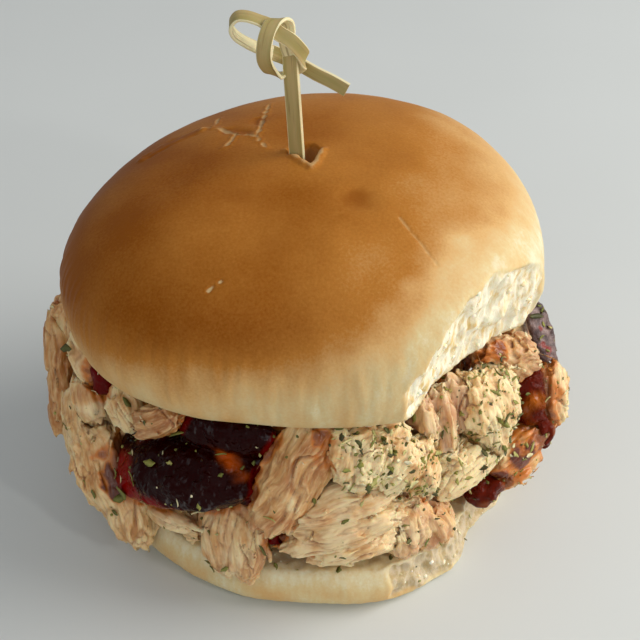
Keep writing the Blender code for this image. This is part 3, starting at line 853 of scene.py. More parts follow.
@dataclass(frozen=True)
class HerbFinish:
    """Dried herbs from dark green to straw. The piece stores tone, 0 to 1, on each leaf."""

    name: str = "dried herbs"
    dark: Colour = shade(62, 60, 24)
    green: Colour = shade(110, 112, 42)
    olive: Colour = shade(150, 148, 66)
    straw: Colour = shade(206, 194, 128)
    cream: Colour = shade(246, 232, 192)

    def make(self) -> Material:
        """Builds its nodes.

        Returns:
            The material.
        """
        recipe = Recipe(self.name)
        level = recipe.painted("tone") + (recipe.noise(0.9, 3.0) - 0.5) * 0.25
        colour = recipe.ramp(
            level,
            (0.0, self.dark), (0.3, self.green), (0.62, self.olive),
            (0.78, self.straw), (1.0, self.cream),
        )
        return recipe.surface(
            Base_Color=colour,
            Roughness=0.6,
            Subsurface_Weight=0.1,
            Subsurface_Scale=0.0005,
            Normal=recipe.relief((recipe.noise(0.35, 3.0), 0.05)),
        )


@dataclass(frozen=True)
class BambooFinish:
    """Split bamboo with its grain along the strip. The UV map runs round the strip and along it."""

    name: str = "bamboo"
    outside: Colour = shade(184, 162, 108)
    green: Colour = shade(164, 148, 88)
    inside: Colour = shade(232, 220, 174)
    vein: Colour = shade(134, 110, 64)

    def make(self) -> Material:
        """Builds its nodes.

        Returns:
            The material.
        """
        recipe = Recipe(self.name)
        strip = recipe.node("ShaderNodeUVMap", {"uv_map": "strip"}).outputs[0]
        veins = recipe.noise(0.05, 3.0, (1, 240, 1), strip, 1.0)
        streaks = recipe.noise(0.16, 2.0, (1, 120, 1), strip, 1.0)
        parts = recipe.node("ShaderNodeSeparateXYZ", {}, {0: strip})
        across = Field(recipe, parts.outputs[0])
        # The narrow sides are painted pale: a painted edge highlight.
        edges = across.between(0.21, 0.27) - across.between(0.43, 0.49) + across.between(0.71, 0.77)
        inner = across.between(0.47, 0.53)
        colour = recipe.mix(streaks.between(0.35, 0.65), self.outside, self.green)
        colour = recipe.mix(inner, colour, self.inside)
        colour = recipe.mix(veins.between(0.54, 0.70) * 0.60, colour, self.vein)
        # Painted edge highlight on the narrow sides.
        colour = recipe.mix(edges * 0.8, colour, self.inside)
        return recipe.surface(
            Base_Color=colour,
            Roughness=0.44 + veins * 0.15,
            Subsurface_Weight=0.1,
            Subsurface_Scale=0.0006,
            Specular_IOR_Level=0.45,
            Normal=recipe.relief((veins, 0.06)),
        )


# --- bun ---
def rough(point: Sequence[float], wavelength: float, seed: float = 0.0) -> float:
    """Smooth noise between about -1 and 1 at a point."""
    return noise.noise(Vector(point) / wavelength + Vector((seed, 0.37 * seed, -0.61 * seed)))


def turned(points: Array, angle: float) -> Array:
    """Points turned about the bun's axis."""
    cos, sin = math.cos(angle), math.sin(angle)
    return points @ np.array(((cos, sin, 0), (-sin, cos, 0), (0, 0, 1)))


@dataclass
class Bite:
    """What the teeth took, as a block that is cut away."""

    angle: float = math.radians(-40.0)
    half_width: float = 28.0
    far: float = 62.0
    step: float = 0.9
    crown_reach: float = 31.2
    crown_lean: float = 0.24
    heel_radius: float = 36.8
    notch: float = 3.6

    def crown_wall(self, side: float, height: float) -> float:
        """How far a spot of the crown's torn face stands from the bun's axis.

        Args:
            side: Where it is across the bite.
            height: How high it is.

        Returns:
            The distance.
        """
        hollow = 2.6 * (1 - math.exp(-((side + 1.0) ** 2) / 98.0))
        crags = 0.8 * rough((side, height, 0), 3.6, 4.0) + 0.9 * rough((side, height, 0), 8.5, 9.0)
        return self.crown_reach + hollow + self.crown_lean * (height - 43.0) + crags

    def heel_wall(self, side: float, height: float) -> float:
        """The same for the heel: a shallow tear with one deeper notch.

        Args:
            side: Where it is across the bite.
            height: How high it is.

        Returns:
            The distance.
        """
        edge = math.sqrt(self.heel_radius**2 - side**2)
        notch = self.notch * math.exp(-(((side - 7.0) / 7.0) ** 2))
        spared = 4.0 * max(0.0, min(1.0, (side - 17.0) / 5.0))
        spared += 3.0 * max(0.0, min(1.0, (-17.0 - side) / 4.0))
        crags = 0.8 * rough((side, height, 0), 3.2, 2.0) + 0.5 * rough((side, height, 0), 6.5, 7.0)
        return edge - notch + spared + crags - 0.12 * (height - 4.0)

    def block(self, wall: Callable[[float, float], float], low: float, high: float) -> Sculpt:
        """The block that is cut away between two heights.

        Args:
            wall: How far its inner face stands at a side and a height.
            low: Its lowest height.
            high: Its highest.

        Returns:
            The block.
        """
        across = round(2 * self.half_width / self.step) + 1
        sides = np.linspace(-self.half_width, self.half_width, across)
        heights = np.linspace(low, high, round((high - low) / self.step) + 1)
        rings = []
        for side in sides:
            front = [(wall(side, height), side, height) for height in heights]
            rings.append(front + [(self.far, side, high), (self.far, side, low)])
        places = turned(np.array(rings).reshape(-1, 3), self.angle)
        return Sculpt("bite", *loft(places.reshape(len(rings), -1, 3)))


@dataclass
class Crown:
    """The top of the bun."""

    radius: float = 40.0
    rise: float = 20.6
    drop: float = 9.0
    inset: float = 4.0
    widest: float = 51.0
    power: float = 2.3
    tilt: float = math.radians(-2.5)
    waves: tuple = ((2, 0.030, 0.013), (3, -0.026, -0.028), (4, -0.013, 0.006))
    voxel: float = 0.47
    bite: Bite = field(default_factory=Bite)
    bitten_from: float = 36.0
    bitten_to: float = 76.0
    depth_reach: float = 9.0  # how far below the skin depths are told apart
    pale_reach: float = 16.0  # how far from the bite the crust may be paler
    hole: tuple = (-0.6, 0.6, 70.0)
    hole_axis: tuple = (-0.6, 0.2)
    fine_by_hole: float = 5.5  # how far from the hole the mesh is finer
    fine_by_marks: float = 1.6  # how far from a crack or a scratch it is finer
    cracks: tuple = (
        ((-19.0, 13.1, 67.9), (-17.8, 13.8, 68.1), (-16.1, 12.4, 68.7), (-13.9, 10.2, 69.7),
         (-12.5, 8.6, 70.0), (-10.6, 8.1, 70.4), (-9.0, 6.9, 70.7), (-8.0, 4.8, 71.0),
         (-7.2, 2.4, 71.1)),
        ((-16.5, 13.1, 68.5), (-16.1, 14.8, 68.3), (-16.0, 18.3, 67.4)),
        ((-9.0, 6.9, 70.7), (-8.3, 10.6, 70.4), (-7.8, 15.7, 69.8), (-7.3, 21.6, 68.4)),
        ((-12.5, 8.6, 70.0), (-13.2, 6.2, 70.1), (-14.3, 4.4, 70.0)),
    )
    lifted: tuple = (
        (-28.6, 8.9, 65.1), (-24.9, 11.0, 66.2), (-21.5, 12.1, 67.3), (-19.0, 13.1, 67.9),
    )
    shadows: tuple = (
        ((-27.4, 9.1, 65.6), (-23.2, 11.8, 66.7), (-19.8, 12.7, 67.8)),
        ((-13.9, 10.6, 69.7), (-11.0, 8.9, 70.3)),
        ((-8.9, 12.3, 70.1), (-8.6, 13.6, 70.0)),
    )
    scratch: tuple = (
        (14.1, -16.2, 69.8), (15.8, -19.0, 69.1), (17.1, -20.7, 68.3), (18.5, -22.8, 67.3),
        (19.6, -24.2, 66.4),
    )
    nicks: tuple = (
        ((-15.3, -27.4, 64.0), (-14.5, -26.7, 64.5)),
        ((-13.7, -26.4, 64.9), (-13.4, -26.3, 65.0)),
    )
    lip: tuple = (
        (-4.0, 1.4, 71.5), (-2.7, -0.6, 71.5), (-1.6, -1.9, 71.5), (-0.5, -3.2, 71.5),
        (0.4, -4.2, 71.5), (1.2, -2.6, 71.5), (2.2, 1.0, 71.5),
    )
    dimple: tuple = (7.7, -12.0, 71.0)
    blotches: tuple = (((-11.3, -9.8, 70.6), 5.0, 0.40), ((-16.7, 0.6, 69.5), 4.0, 0.35),
                       ((-26.0, -9.0, 66.0), 7.0, 0.35), ((-6.0, -22.0, 68.4), 3.5, 0.2))

    def profile(self) -> Array:
        """The outline of half a slice.

        Returns:
            Reach and height from near the top down to the middle of the cut face.
        """
        dome = np.linspace(1, 0, 45)[1:] * math.pi / 2
        side = np.linspace(0, 1, 25)[1:] * math.pi / 2
        reach = np.concatenate([self.radius * np.cos(dome) ** (2 / self.power),
                                self.radius - self.inset * (1 - np.cos(side))])
        height = np.concatenate([self.widest + self.rise * np.sin(dome) ** (2 / self.power),
                                 self.widest - self.drop * np.sin(side)])
        base = np.linspace(0.9, 0.1, 9) * reach[-1]
        return np.vstack([np.column_stack([reach, height]),
                          np.column_stack([base, np.full(9, self.widest - self.drop)])])

    def whole(self) -> Sculpt:
        """The crown before it is bitten.

        Returns:
            Its shape.
        """
        plan = 1.0 + sum(a * np.cos(n * ANGLES) + b * np.sin(n * ANGLES) for n, a, b in self.waves)
        rings = []
        for reach, height in self.profile():
            far = reach * plan
            if reach > self.radius * 0.5:
                far = far + [0.35 * rough((reach * math.cos(a), reach * math.sin(a), height), 22.0)
                             for a in ANGLES]
            rings.append(ring_at(far, height))
        rings = np.array(rings)
        cos, sin = math.cos(self.tilt), math.sin(self.tilt)
        lifted = rings - (0, 0, self.widest)
        rings = lifted @ np.array(((cos, 0, -sin), (0, 1, 0), (sin, 0, cos))) + (0, 0, self.widest)
        return Sculpt("bun_top", *loft(rings))

    def tear(self) -> Sculpt:
        """The three-cornered tear where the pick goes in.

        Returns:
            What it takes away.
        """
        mouth = ((-3.6, 1.6), (-1.5, -1.2), (0.4, -3.8), (1.9, 1.4), (0.6, 3.4), (-1.6, 3.2))
        foot = ((-1.9, 1.0), (-1.4, 0.0), (-0.4, -0.7), (0.3, 1.0), (0.0, 1.8), (-1.4, 1.8))
        rings = [[(x, y, height) for x, y in outline] for outline, height in
                 ((foot, 65.5), (mouth, 71.0), (mouth, 75.0))]
        return Sculpt("tear", *loft(np.array(rings)))

    def build(self, finish: Material, channel: Sculpt) -> Object:
        """Makes the bitten crown.

        Args:
            finish: The bread material.
            channel: What the pick's stem needs; it is used up.

        Returns:
            The finished piece.
        """
        crown = self.whole()
        outside = crown.tree()
        block = self.bite.block(self.bite.crown_wall, self.bitten_from, self.bitten_to)
        bitten = block.tree()
        crown.cut([block, self.tear(), channel])
        crown.remesh(self.voxel)
        crown.relax(2)
        paths = (*self.cracks, self.lifted, self.scratch, *self.nicks)
        marks = np.minimum.reduce([distance_to_path(crown.points, path) for path in paths])
        hole = np.linalg.norm(crown.points - self.hole, axis=1)
        crown.refine((marks < self.fine_by_marks) | (hole < self.fine_by_hole))
        points, normals = crown.points, crown.normals
        depth = gap_to(points, [outside], self.depth_reach)
        angle = np.arctan2(points[:, 1], points[:, 0])
        crumb = self._crumb(points, normals, depth)
        points = self._crags(points, normals, crumb)
        points = self._wrinkles(points, normals, crumb, angle)
        points, scar, scorch = self._marks(points, normals, crumb)
        crown.points = points
        crown.paint("crumb", crumb)
        to_bite = gap_to(points, [bitten], self.pale_reach)
        crown.paint("crust", self._browning_and_shade(points, angle, to_bite))
        crown.paint("scar", scar)
        crown.paint("scorch", scorch)
        return crown.settle(finish, "bun", "bun_crown")

    def _crumb(self, points: Array, normals: Array, depth: Array) -> Array:
        """Where the crumb shows: inside the bite and the tear, and on the cut face.

        Args:
            points: The crown's points.
            normals: Their outward directions.
            depth: How deep each lies below the unbitten skin.

        Returns:
            0 for skin to 1 for crumb.
        """
        cut = ease(-0.80, -0.95, normals[:, 2])
        cut = cut * ease(self.widest - 5.0, self.widest - 7.0, points[:, 2])
        ragged = 0.55 * Noise(21).at(points, 2.4) + 0.35 * Noise(35).at(points, 0.9)
        torn = np.maximum(ease(0.05, 1.35, depth + ragged) * ease(0.03, 0.35, depth), cut)
        hole = np.linalg.norm(points[:, :2] - self.hole_axis, axis=1)
        return torn * np.where(points[:, 2] > 62.0, 0.2 + 0.8 * ease(5.0, 7.0, hole), 1.0)

    def _crags(self, points: Array, normals: Array, crumb: Array) -> Array:
        """Tears and hollows in the crumb.

        Args:
            points: The crown's points.
            normals: Their outward directions.
            crumb: Where the crumb shows.

        Returns:
            The shaped points.
        """
        coarse = Noise(22).at(points, (2.8, 2.8, 8.0))
        fine = Noise(23).at(points, (1.2, 1.2, 3.6))
        tiny = Noise(24).at(points, (0.7, 0.7, 1.4))
        height = 0.75 * coarse + 0.38 * fine + 0.18 * tiny - 0.30
        return points + normals * (crumb * height)[:, None]

    def _wrinkles(self, points: Array, normals: Array, crumb: Array, angle: Array) -> Array:
        """Fine upright wrinkles round the pale rim, and soft unevenness above.

        Args:
            points: The crown's points.
            normals: Their outward directions.
            crumb: Where the crumb shows.
            angle: Which way each point lies from the axis.

        Returns:
            The shaped points.
        """
        rim = ease(60.0, 53.0, points[:, 2]) * ease(42.5, 44.5, points[:, 2]) * (1 - crumb)
        around = np.column_stack([angle * 40.0, points[:, 2] * 0.16, np.zeros(len(points))])
        folds = Noise(25).at(around, 1.5) + 0.6 * Noise(26).at(around, 0.8)
        soft = Noise(27).at(points, 14.0) * 0.22 + Noise(28).at(points, 5.0) * 0.06
        height = 0.22 * rim * folds + soft * (1 - crumb) - 0.1
        return points + normals * height[:, None]

    def _marks(self, points: Array, normals: Array, crumb: Array) -> tuple:
        """Cracked skin, scratches, nicks and a dimple.

        Args:
            points: The crown's points.
            normals: Their outward directions.
            crumb: Where the crumb shows.

        Returns:
            The shaped points, how pale the skin is there, and how dark it is with marks and with
            painted shadow beside the cracks.
        """
        scar = np.zeros(len(points))
        scorch = np.zeros(len(points))
        height = np.zeros(len(points))
        wobble = 0.5 * Noise(31).at(points, 1.3)
        for path in self.cracks:
            away = distance_to_path(points, path) + wobble
            scar = np.maximum(scar, 0.38 * ease(0.38, 0.08, away))
            height += 0.09 * ease(1.0, 0.4, away) - 0.18 * ease(0.36, 0.04, away)
        # Painted shadow beside the cracks: darker skin over a slight dent.
        for path in self.shadows:
            away = distance_to_path(points, path) + wobble
            scorch = np.maximum(scorch, 0.75 * ease(1.7, 0.5, away))
            height -= 0.22 * ease(1.8, 0.5, away)
        lifted = distance_to_path(points, self.lifted)
        height += 0.30 * ease(1.6, 0.5, lifted)
        lines = [(self.scratch, 0.30, 0.36)] + [(nick, 0.7, 0.24) for nick in self.nicks]
        for path, strength, wide in lines:
            away = distance_to_path(points, path) + 0.4 * wobble
            scar = np.maximum(scar, strength * ease(wide, 0.06, away))
            height -= 0.14 * ease(0.5, 0.1, away)
        away = np.linalg.norm(points - self.dimple, axis=1)
        scorch = np.maximum(scorch, 0.7 * ease(3.6, 0.6, away + 1.2 * wobble))
        height -= 0.4 * ease(5.0, 0.0, away)
        drift = 2.4 * Noise(34).at(points, 5.0)
        for place, reach, strength in self.blotches:
            away = np.linalg.norm(points - place, axis=1) + drift
            scorch = np.maximum(scorch, strength * ease(reach, 0.0, away))
        lip = distance_to_path(points, self.lip) + 0.6 * wobble
        height += 0.45 * ease(1.1, 0.1, lip) * ease(70.2, 71.0, points[:, 2])
        scar = np.maximum(scar, 0.40 * ease(0.42, 0.12, lip) * ease(70.6, 71.2, points[:, 2]))
        return points + normals * height[:, None], scar * (1 - crumb), scorch * (1 - crumb)

    def _browning_and_shade(self, points: Array, angle: Array, to_bite: Array) -> Array:
        """How browned the skin is: pale at the foot and by the bite, dark on top; painted shade
        darkens -X.

        Args:
            points: The crown's points.
            angle: Which way each lies from the axis.
            to_bite: How far each is from the bite.

        Returns:
            0 for pale to 1 for dark.
        """
        turn = np.cos(angle - math.radians(8.0))
        bitten = np.exp(-(((angle - self.bite.angle) / math.radians(30.0)) ** 2))
        edge = 56.6 + 6.9 * turn + 1.6 * bitten + 1.4 * Noise(29).at(points, 7.0)
        width = 8.6 + 1.6 * turn
        share = ease(-1.0, 1.0, (points[:, 2] - edge) / width)
        share = share * (0.05 + 0.95 * ease(0.5, 11.5, to_bite + 2.2 * Noise(32).at(points, 4.0)))
        patches = 0.13 * Noise(30).at(points, 13.0)
        # The terms in x darken the skin and the rim towards -X, away from the key light: painted
        # shade.
        rim = 0.30 - 0.0034 * points[:, 0] + 0.16 * Noise(33).at(points, (4.0, 4.0, 9.0))
        rim = np.clip(rim, 0.0, 0.5)
        return share * (0.84 + patches - 0.0050 * points[:, 0]) + (1 - share) * rim


@dataclass
class Heel:
    """The bottom of the bun."""

    radius: float = 36.4
    inset: float = 3.2
    widest: float = 4.2
    top: float = 9.4
    bulge: float = 3.0
    voxel: float = 0.44
    depth_reach: float = 6.0
    bite: Bite = field(default_factory=Bite)
    bitten_from: float = -4.0
    bitten_to: float = 14.0

    def reach(self, angle: float, height: float) -> float:
        """How far it reaches from the axis.

        Args:
            angle: In which direction.
            height: At what height.

        Returns:
            The distance.
        """
        if height <= self.widest:
            inset = self.inset * (1 - height / self.widest) ** 2.2
        else:
            inset = 1.5 * ((height - self.widest) / (self.top - self.widest)) ** 2
        away = math.remainder(angle - math.radians(-28.0), 2 * math.pi)
        bulge = self.bulge * math.exp(-((away / math.radians(40.0)) ** 2))
        ripple = 0.35 * math.sin(5 * angle + 1.0) + 0.25 * math.sin(9 * angle)
        return self.radius - inset + bulge + ripple

    def build(self, finish: Material) -> Object:
        """Makes the torn heel.

        Args:
            finish: The bread material.

        Returns:
            The finished piece.
        """
        levels = [(0, share) for share in (0.25, 0.5, 0.75, 0.95)]
        levels += [(height, 1.0) for height in np.linspace(0, self.top - 0.7, 14)]
        levels += [(self.top - 0.2, 0.99)]
        levels += [(self.top, share) for share in (0.975, 0.75, 0.5, 0.25)]
        rings = []
        for height, share in levels:
            far = np.array([self.reach(angle, height) for angle in ANGLES])
            rings.append(ring_at(far * share, height))
        heel = Sculpt("bun_bottom", *loft(np.array(rings)))
        outside = heel.tree()
        heel.cut([self.bite.block(self.bite.heel_wall, self.bitten_from, self.bitten_to)])
        heel.remesh(self.voxel)
        heel.relax(1)
        points, normals = heel.points, heel.normals
        depth = gap_to(points, [outside], self.depth_reach)
        ragged = 0.45 * Noise(41).at(points, 1.8)
        torn = ease(0.20, 0.95, depth + ragged)
        cut = ease(0.80, 0.97, normals[:, 2]) * ease(self.top - 1.2, self.top - 0.5, points[:, 2])
        above = ease(0.5, 1.5, points[:, 2])
        crags = 0.7 * Noise(42).at(points, (2.6, 2.6, 4.0))
        crags += 0.5 * Noise(43).at(points, (1.2, 1.2, 2.0))
        crags += 0.2 * Noise(44).at(points, 0.7)
        height = torn * (crags - 0.3) + cut * (0.3 * Noise(45).at(points, 1.6) - 0.1)
        angle = np.arctan2(points[:, 1], points[:, 0])
        around = np.column_stack([angle * 36.0, points[:, 2] * 0.3, np.zeros(len(points))])
        wrinkles = 0.10 * Noise(46).at(around, 1.7) + 0.15 * Noise(47).at(points, 8.0)
        height += (1 - torn) * (1 - cut) * wrinkles
        heel.points = points + normals * (height * above)[:, None]
        band = ease(0.3, 2.6, points[:, 2]) * ease(8.2, 4.6, points[:, 2])
        heel.paint("crust", band * (0.22 + 0.20 * Noise(48).at(points, 6.0)) + 0.10 + 0.10 * cut)
        heel.paint("crumb", np.maximum(torn, 0.22 * cut))
        heel.paint("herbs", 0.9 * cut + 0.35 * torn)
        heel.paint("scar", np.zeros(len(points)))
        heel.paint("scorch", 0.06 * cut * ease(-0.2, 0.5, Noise(49).at(points, 2.4)))
        return heel.settle(finish, "bun", "bun_heel")


# --- pick ---
@dataclass
class Pick:
    """A flat bamboo pick whose end is tied in a knot."""

    width: float = 2.4
    stem_thickness: float = 1.2
    knot_thickness: float = 0.55
    clearance: float = 0.3
    foot: tuple = (0.9, 0.4, 13.0)
    knot: tuple = (-3.0, 0.5, 89.2)
    edge: float = 0.14
    # Right, up and towards the front of the knot, and the way that the strip's width points there.
    route: tuple = (
        ((0.0, 0.0, 0.0), (1.0, 0.0, 0.2)), ((-0.5, 2.0, -0.1), (1.0, 0.0, 0.2)),
        ((-0.3, 3.5, -0.8), (1.0, 0.0, 0.1)), ((-0.5, 4.9, -1.1), (1.0, 0.1, 0.1)),
        ((-1.4, 5.9, -0.2), (1.0, 0.1, 0.0)), ((-2.6, 6.0, 1.2), (1.0, 0.0, 0.0)),
        ((-3.4, 4.8, 2.2), (1.0, 0.0, 0.0)), ((-3.9, 2.6, 2.6), (1.0, 0.0, 0.1)),
        ((-3.9, 0.2, 2.3), (1.0, 0.0, 0.1)), ((-3.2, -2.0, 1.3), (1.0, -0.1, 0.1)),
        ((-2.0, -3.5, 0.0), (1.0, -0.4, 0.3)), ((-0.6, -3.6, -1.2), (0.5, 0.8, 0.2)),
        ((0.7, -3.2, -1.6), (0.1, 1.0, 0.0)), ((1.9, -2.0, -1.0), (0.1, 1.0, 0.1)),
        ((2.2, -0.3, 0.1), (0.4, 0.9, -0.2)), ((1.5, 1.6, 1.2), (0.6, 0.8, -0.2)),
        ((0.1, 3.4, 1.6), (0.5, 0.8, -0.3)), ((-1.6, 4.3, 1.2), (0.2, 0.8, -0.6)),
        ((-3.0, 5.3, 0.5), (0.0, 0.6, -0.9)), ((-4.6, 5.9, 0.0), (0.0, 0.3, -1.0)),
        ((-6.6, 6.4, -0.4), (0.0, 0.3, -1.0)), ((-8.2, 6.2, -0.6), (0.0, 0.3, -1.0)),
        ((-9.1, 4.8, -0.6), (0.0, 0.3, -1.0)), ((-8.6, 3.2, -0.7), (0.0, 0.3, -1.0)),
        ((-7.0, 1.8, -0.9), (0.0, 0.3, -1.0)), ((-5.0, 0.6, -1.2), (0.0, 0.4, -1.0)),
        ((-2.8, -0.6, -1.9), (0.0, 0.8, -0.6)), ((-0.6, -1.7, -2.2), (0.1, 1.0, -0.2)),
        ((1.6, -2.9, -2.2), (0.3, 1.0, 0.0)), ((4.0, -4.0, -1.4), (0.4, 1.0, 0.0)),
        ((6.6, -5.0, -0.6), (0.4, 1.0, 0.0)), ((9.0, -6.1, 0.2), (0.4, 1.0, 0.0)),
    )
    ring_points: int = 12  # of the route, up to where it passes behind the stem
    loop_points: int = 27  # of the route, up to the end of the left loop
    bend_steps: int = 6
    starts: tuple = (76.0, 104.0, 150.0)  # along the bamboo, of the ring, the loop and the tail

    def stem(self, grow: float = 0.0) -> list[tuple]:
        """Stations of the straight stem.

        Args:
            grow: How much larger they are on every side.

        Returns:
            Centre, width direction, width and thickness of each.
        """
        foot, knot = Vector(self.foot), Vector(self.knot)
        stations = []
        for share in (0.0, 0.03, 0.06, *np.linspace(0.1, 1.0, 24)):
            size = min(1.0, 0.35 + 0.65 * share / 0.06)
            thin = self.knot_thickness if share == 1.0 and not grow else self.stem_thickness
            across = Vector((1.0, -0.25, 0.0))
            stations.append((foot.lerp(knot, share), across, self.width * size + 2 * grow,
                             thin * size + 2 * grow))
        return stations

    def bend(self, route: Sequence) -> list[tuple]:
        """Stations along a smooth curve.

        Args:
            route: What it goes through, as in the whole route.

        Returns:
            Centre, width direction, width and thickness of each.
        """
        points = [Vector((x, -front, up)) + Vector(self.knot) for (x, up, front), _ in route]
        widths = [Vector((x, -front, up)).normalized() for _, (x, up, front) in route]
        stations = []
        for i in range(len(points) - 1):
            before, after = points[max(i - 1, 0)], points[min(i + 2, len(points) - 1)]
            for k in range(self.bend_steps + (i == len(points) - 2)):
                t = k / self.bend_steps
                a, b = (points[i + 1] - before) * 0.5, (after - points[i]) * 0.5
                h = (2 * t**3 - 3 * t**2 + 1, t**3 - 2 * t**2 + t, -2 * t**3 + 3 * t**2, t**3 - t**2)
                centre = points[i] * h[0] + a * h[1] + points[i + 1] * h[2] + b * h[3]
                across = widths[i].lerp(widths[i + 1], t)
                stations.append((centre, across, self.width, self.knot_thickness))
        return stations

    def strip(self, name: str, stations: Sequence[tuple], start: float = 0.0,
              flip: bool = False) -> Sculpt:
        """A strip with bevelled edges through stations.

        Args:
            name: The object's name.
            stations: Centre, width direction, width and thickness along the strip.
            start: Where its UV map starts along the bamboo.
            flip: Whether the pale inner face is the first one.

        Returns:
            The strip, with its UV map round and along it.
        """
        rings, runs, run = [], [], start
        for i, (centre, across, width, thick) in enumerate(stations):
            ahead = stations[min(i + 1, len(stations) - 1)][0] - stations[max(i - 1, 0)][0]
            ahead.normalize()
            across = (across - ahead * across.dot(ahead)).normalized()
            through = ahead.cross(across)
            half, deep, edge = width / 2, thick / 2, min(self.edge, thick / 3)
            outline = ((-half + edge, -deep), (0, -deep), (half - edge, -deep), (half, -deep + edge),
                       (half, deep - edge), (half - edge, deep), (0, deep), (-half + edge, deep),
                       (-half, deep - edge), (-half, -deep + edge))
            rings.append([centre + across * a + through * b for a, b in outline])
            run += (centre - stations[max(i - 1, 0)][0]).length
            runs.append(run)
        around = len(rings[0])
        made = Sculpt(name, *loft(np.array(rings)))
        layer = made.object.data.uv_layers.new(name="strip")
        for face in made.object.data.polygons:
            columns = [made.object.data.loops[i].vertex_index for i in face.loop_indices]
            wraps = {c % around for c in columns if c < around * len(rings)} >= {0, around - 1}
            for loop, corner in zip(face.loop_indices, columns):
                if corner >= around * len(rings):
                    layer.data[loop].uv = (0.75, runs[0 if corner == around * len(rings) else -1])
                    continue
                turn = corner % around
                turn = around if wraps and turn == 0 else turn
                share = turn / around
                if flip:
                    first_half = max(c % around for c in columns) <= around // 2 and not wraps
                    share = share + 0.5 if first_half else share - 0.5
                layer.data[loop].uv = (share, runs[corner // around])
        return made

    def channel(self) -> Sculpt:
        """What the stem needs through the crown and the filling."""
        return self.strip("channel", self.stem(self.clearance))

    def build(self, finish: Material) -> Object:
        """Makes the whole pick, joined where the strip touches itself.

        Args:
            finish: The bamboo material.

        Returns:
            The finished piece.
        """
        pick = self.strip("pick", self.stem())
        ring = self.bend(self.route[: self.ring_points])
        loop = self.bend(self.route[self.ring_points - 1: self.loop_points])
        tail = self.bend(self.route[self.loop_points - 1:])
        parts = [self.strip("ring", ring, self.starts[0], True),
                 self.strip("loop", loop, self.starts[1]),
                 self.strip("tail", tail, self.starts[2], True)]
        for part in parts:
            pick.apply("BOOLEAN", operation="UNION", solver="EXACT", object=part.object)
            part.remove()
        piece = pick.settle(finish, "bamboo", "bamboo_pick")
        piece.data.set_sharp_from_angle(angle=math.radians(35))
        return piece


# --- chicken ---
class Fibre(Enum):
    """How chicken is torn.

    The numbers are the strands on 100 square millimetres, their width and length, how thick they are
    for their width, and how much their directions differ.
    """

    FINE = (10.0, 1.0, 7.5, 0.5, 0.18)
    COARSE = (7.5, 1.5, 9.0, 0.42, 0.20)
    SHREDDED = (30.0, 0.60, 5.6, 0.8, 0.42)
    WISP = (2.4, 0.9, 12.0, 0.8, 0.38)
    SHRED = (3.2, 2.2, 15.0, 0.5, 0.55)


@dataclass(frozen=True)
class Chunk:
    """One piece of chicken: its grain, how it is torn, its colouring and how tangled it is."""

    node: str
    grain: tuple[float, float, float]
    fibre: Fibre = Fibre.FINE
    pale: float = 0.3
    blush: float = 0.15
    brown: float = 0.3
    stain: float = 0.0
    herbs: float = 0.25
    tangle: float = 0.0


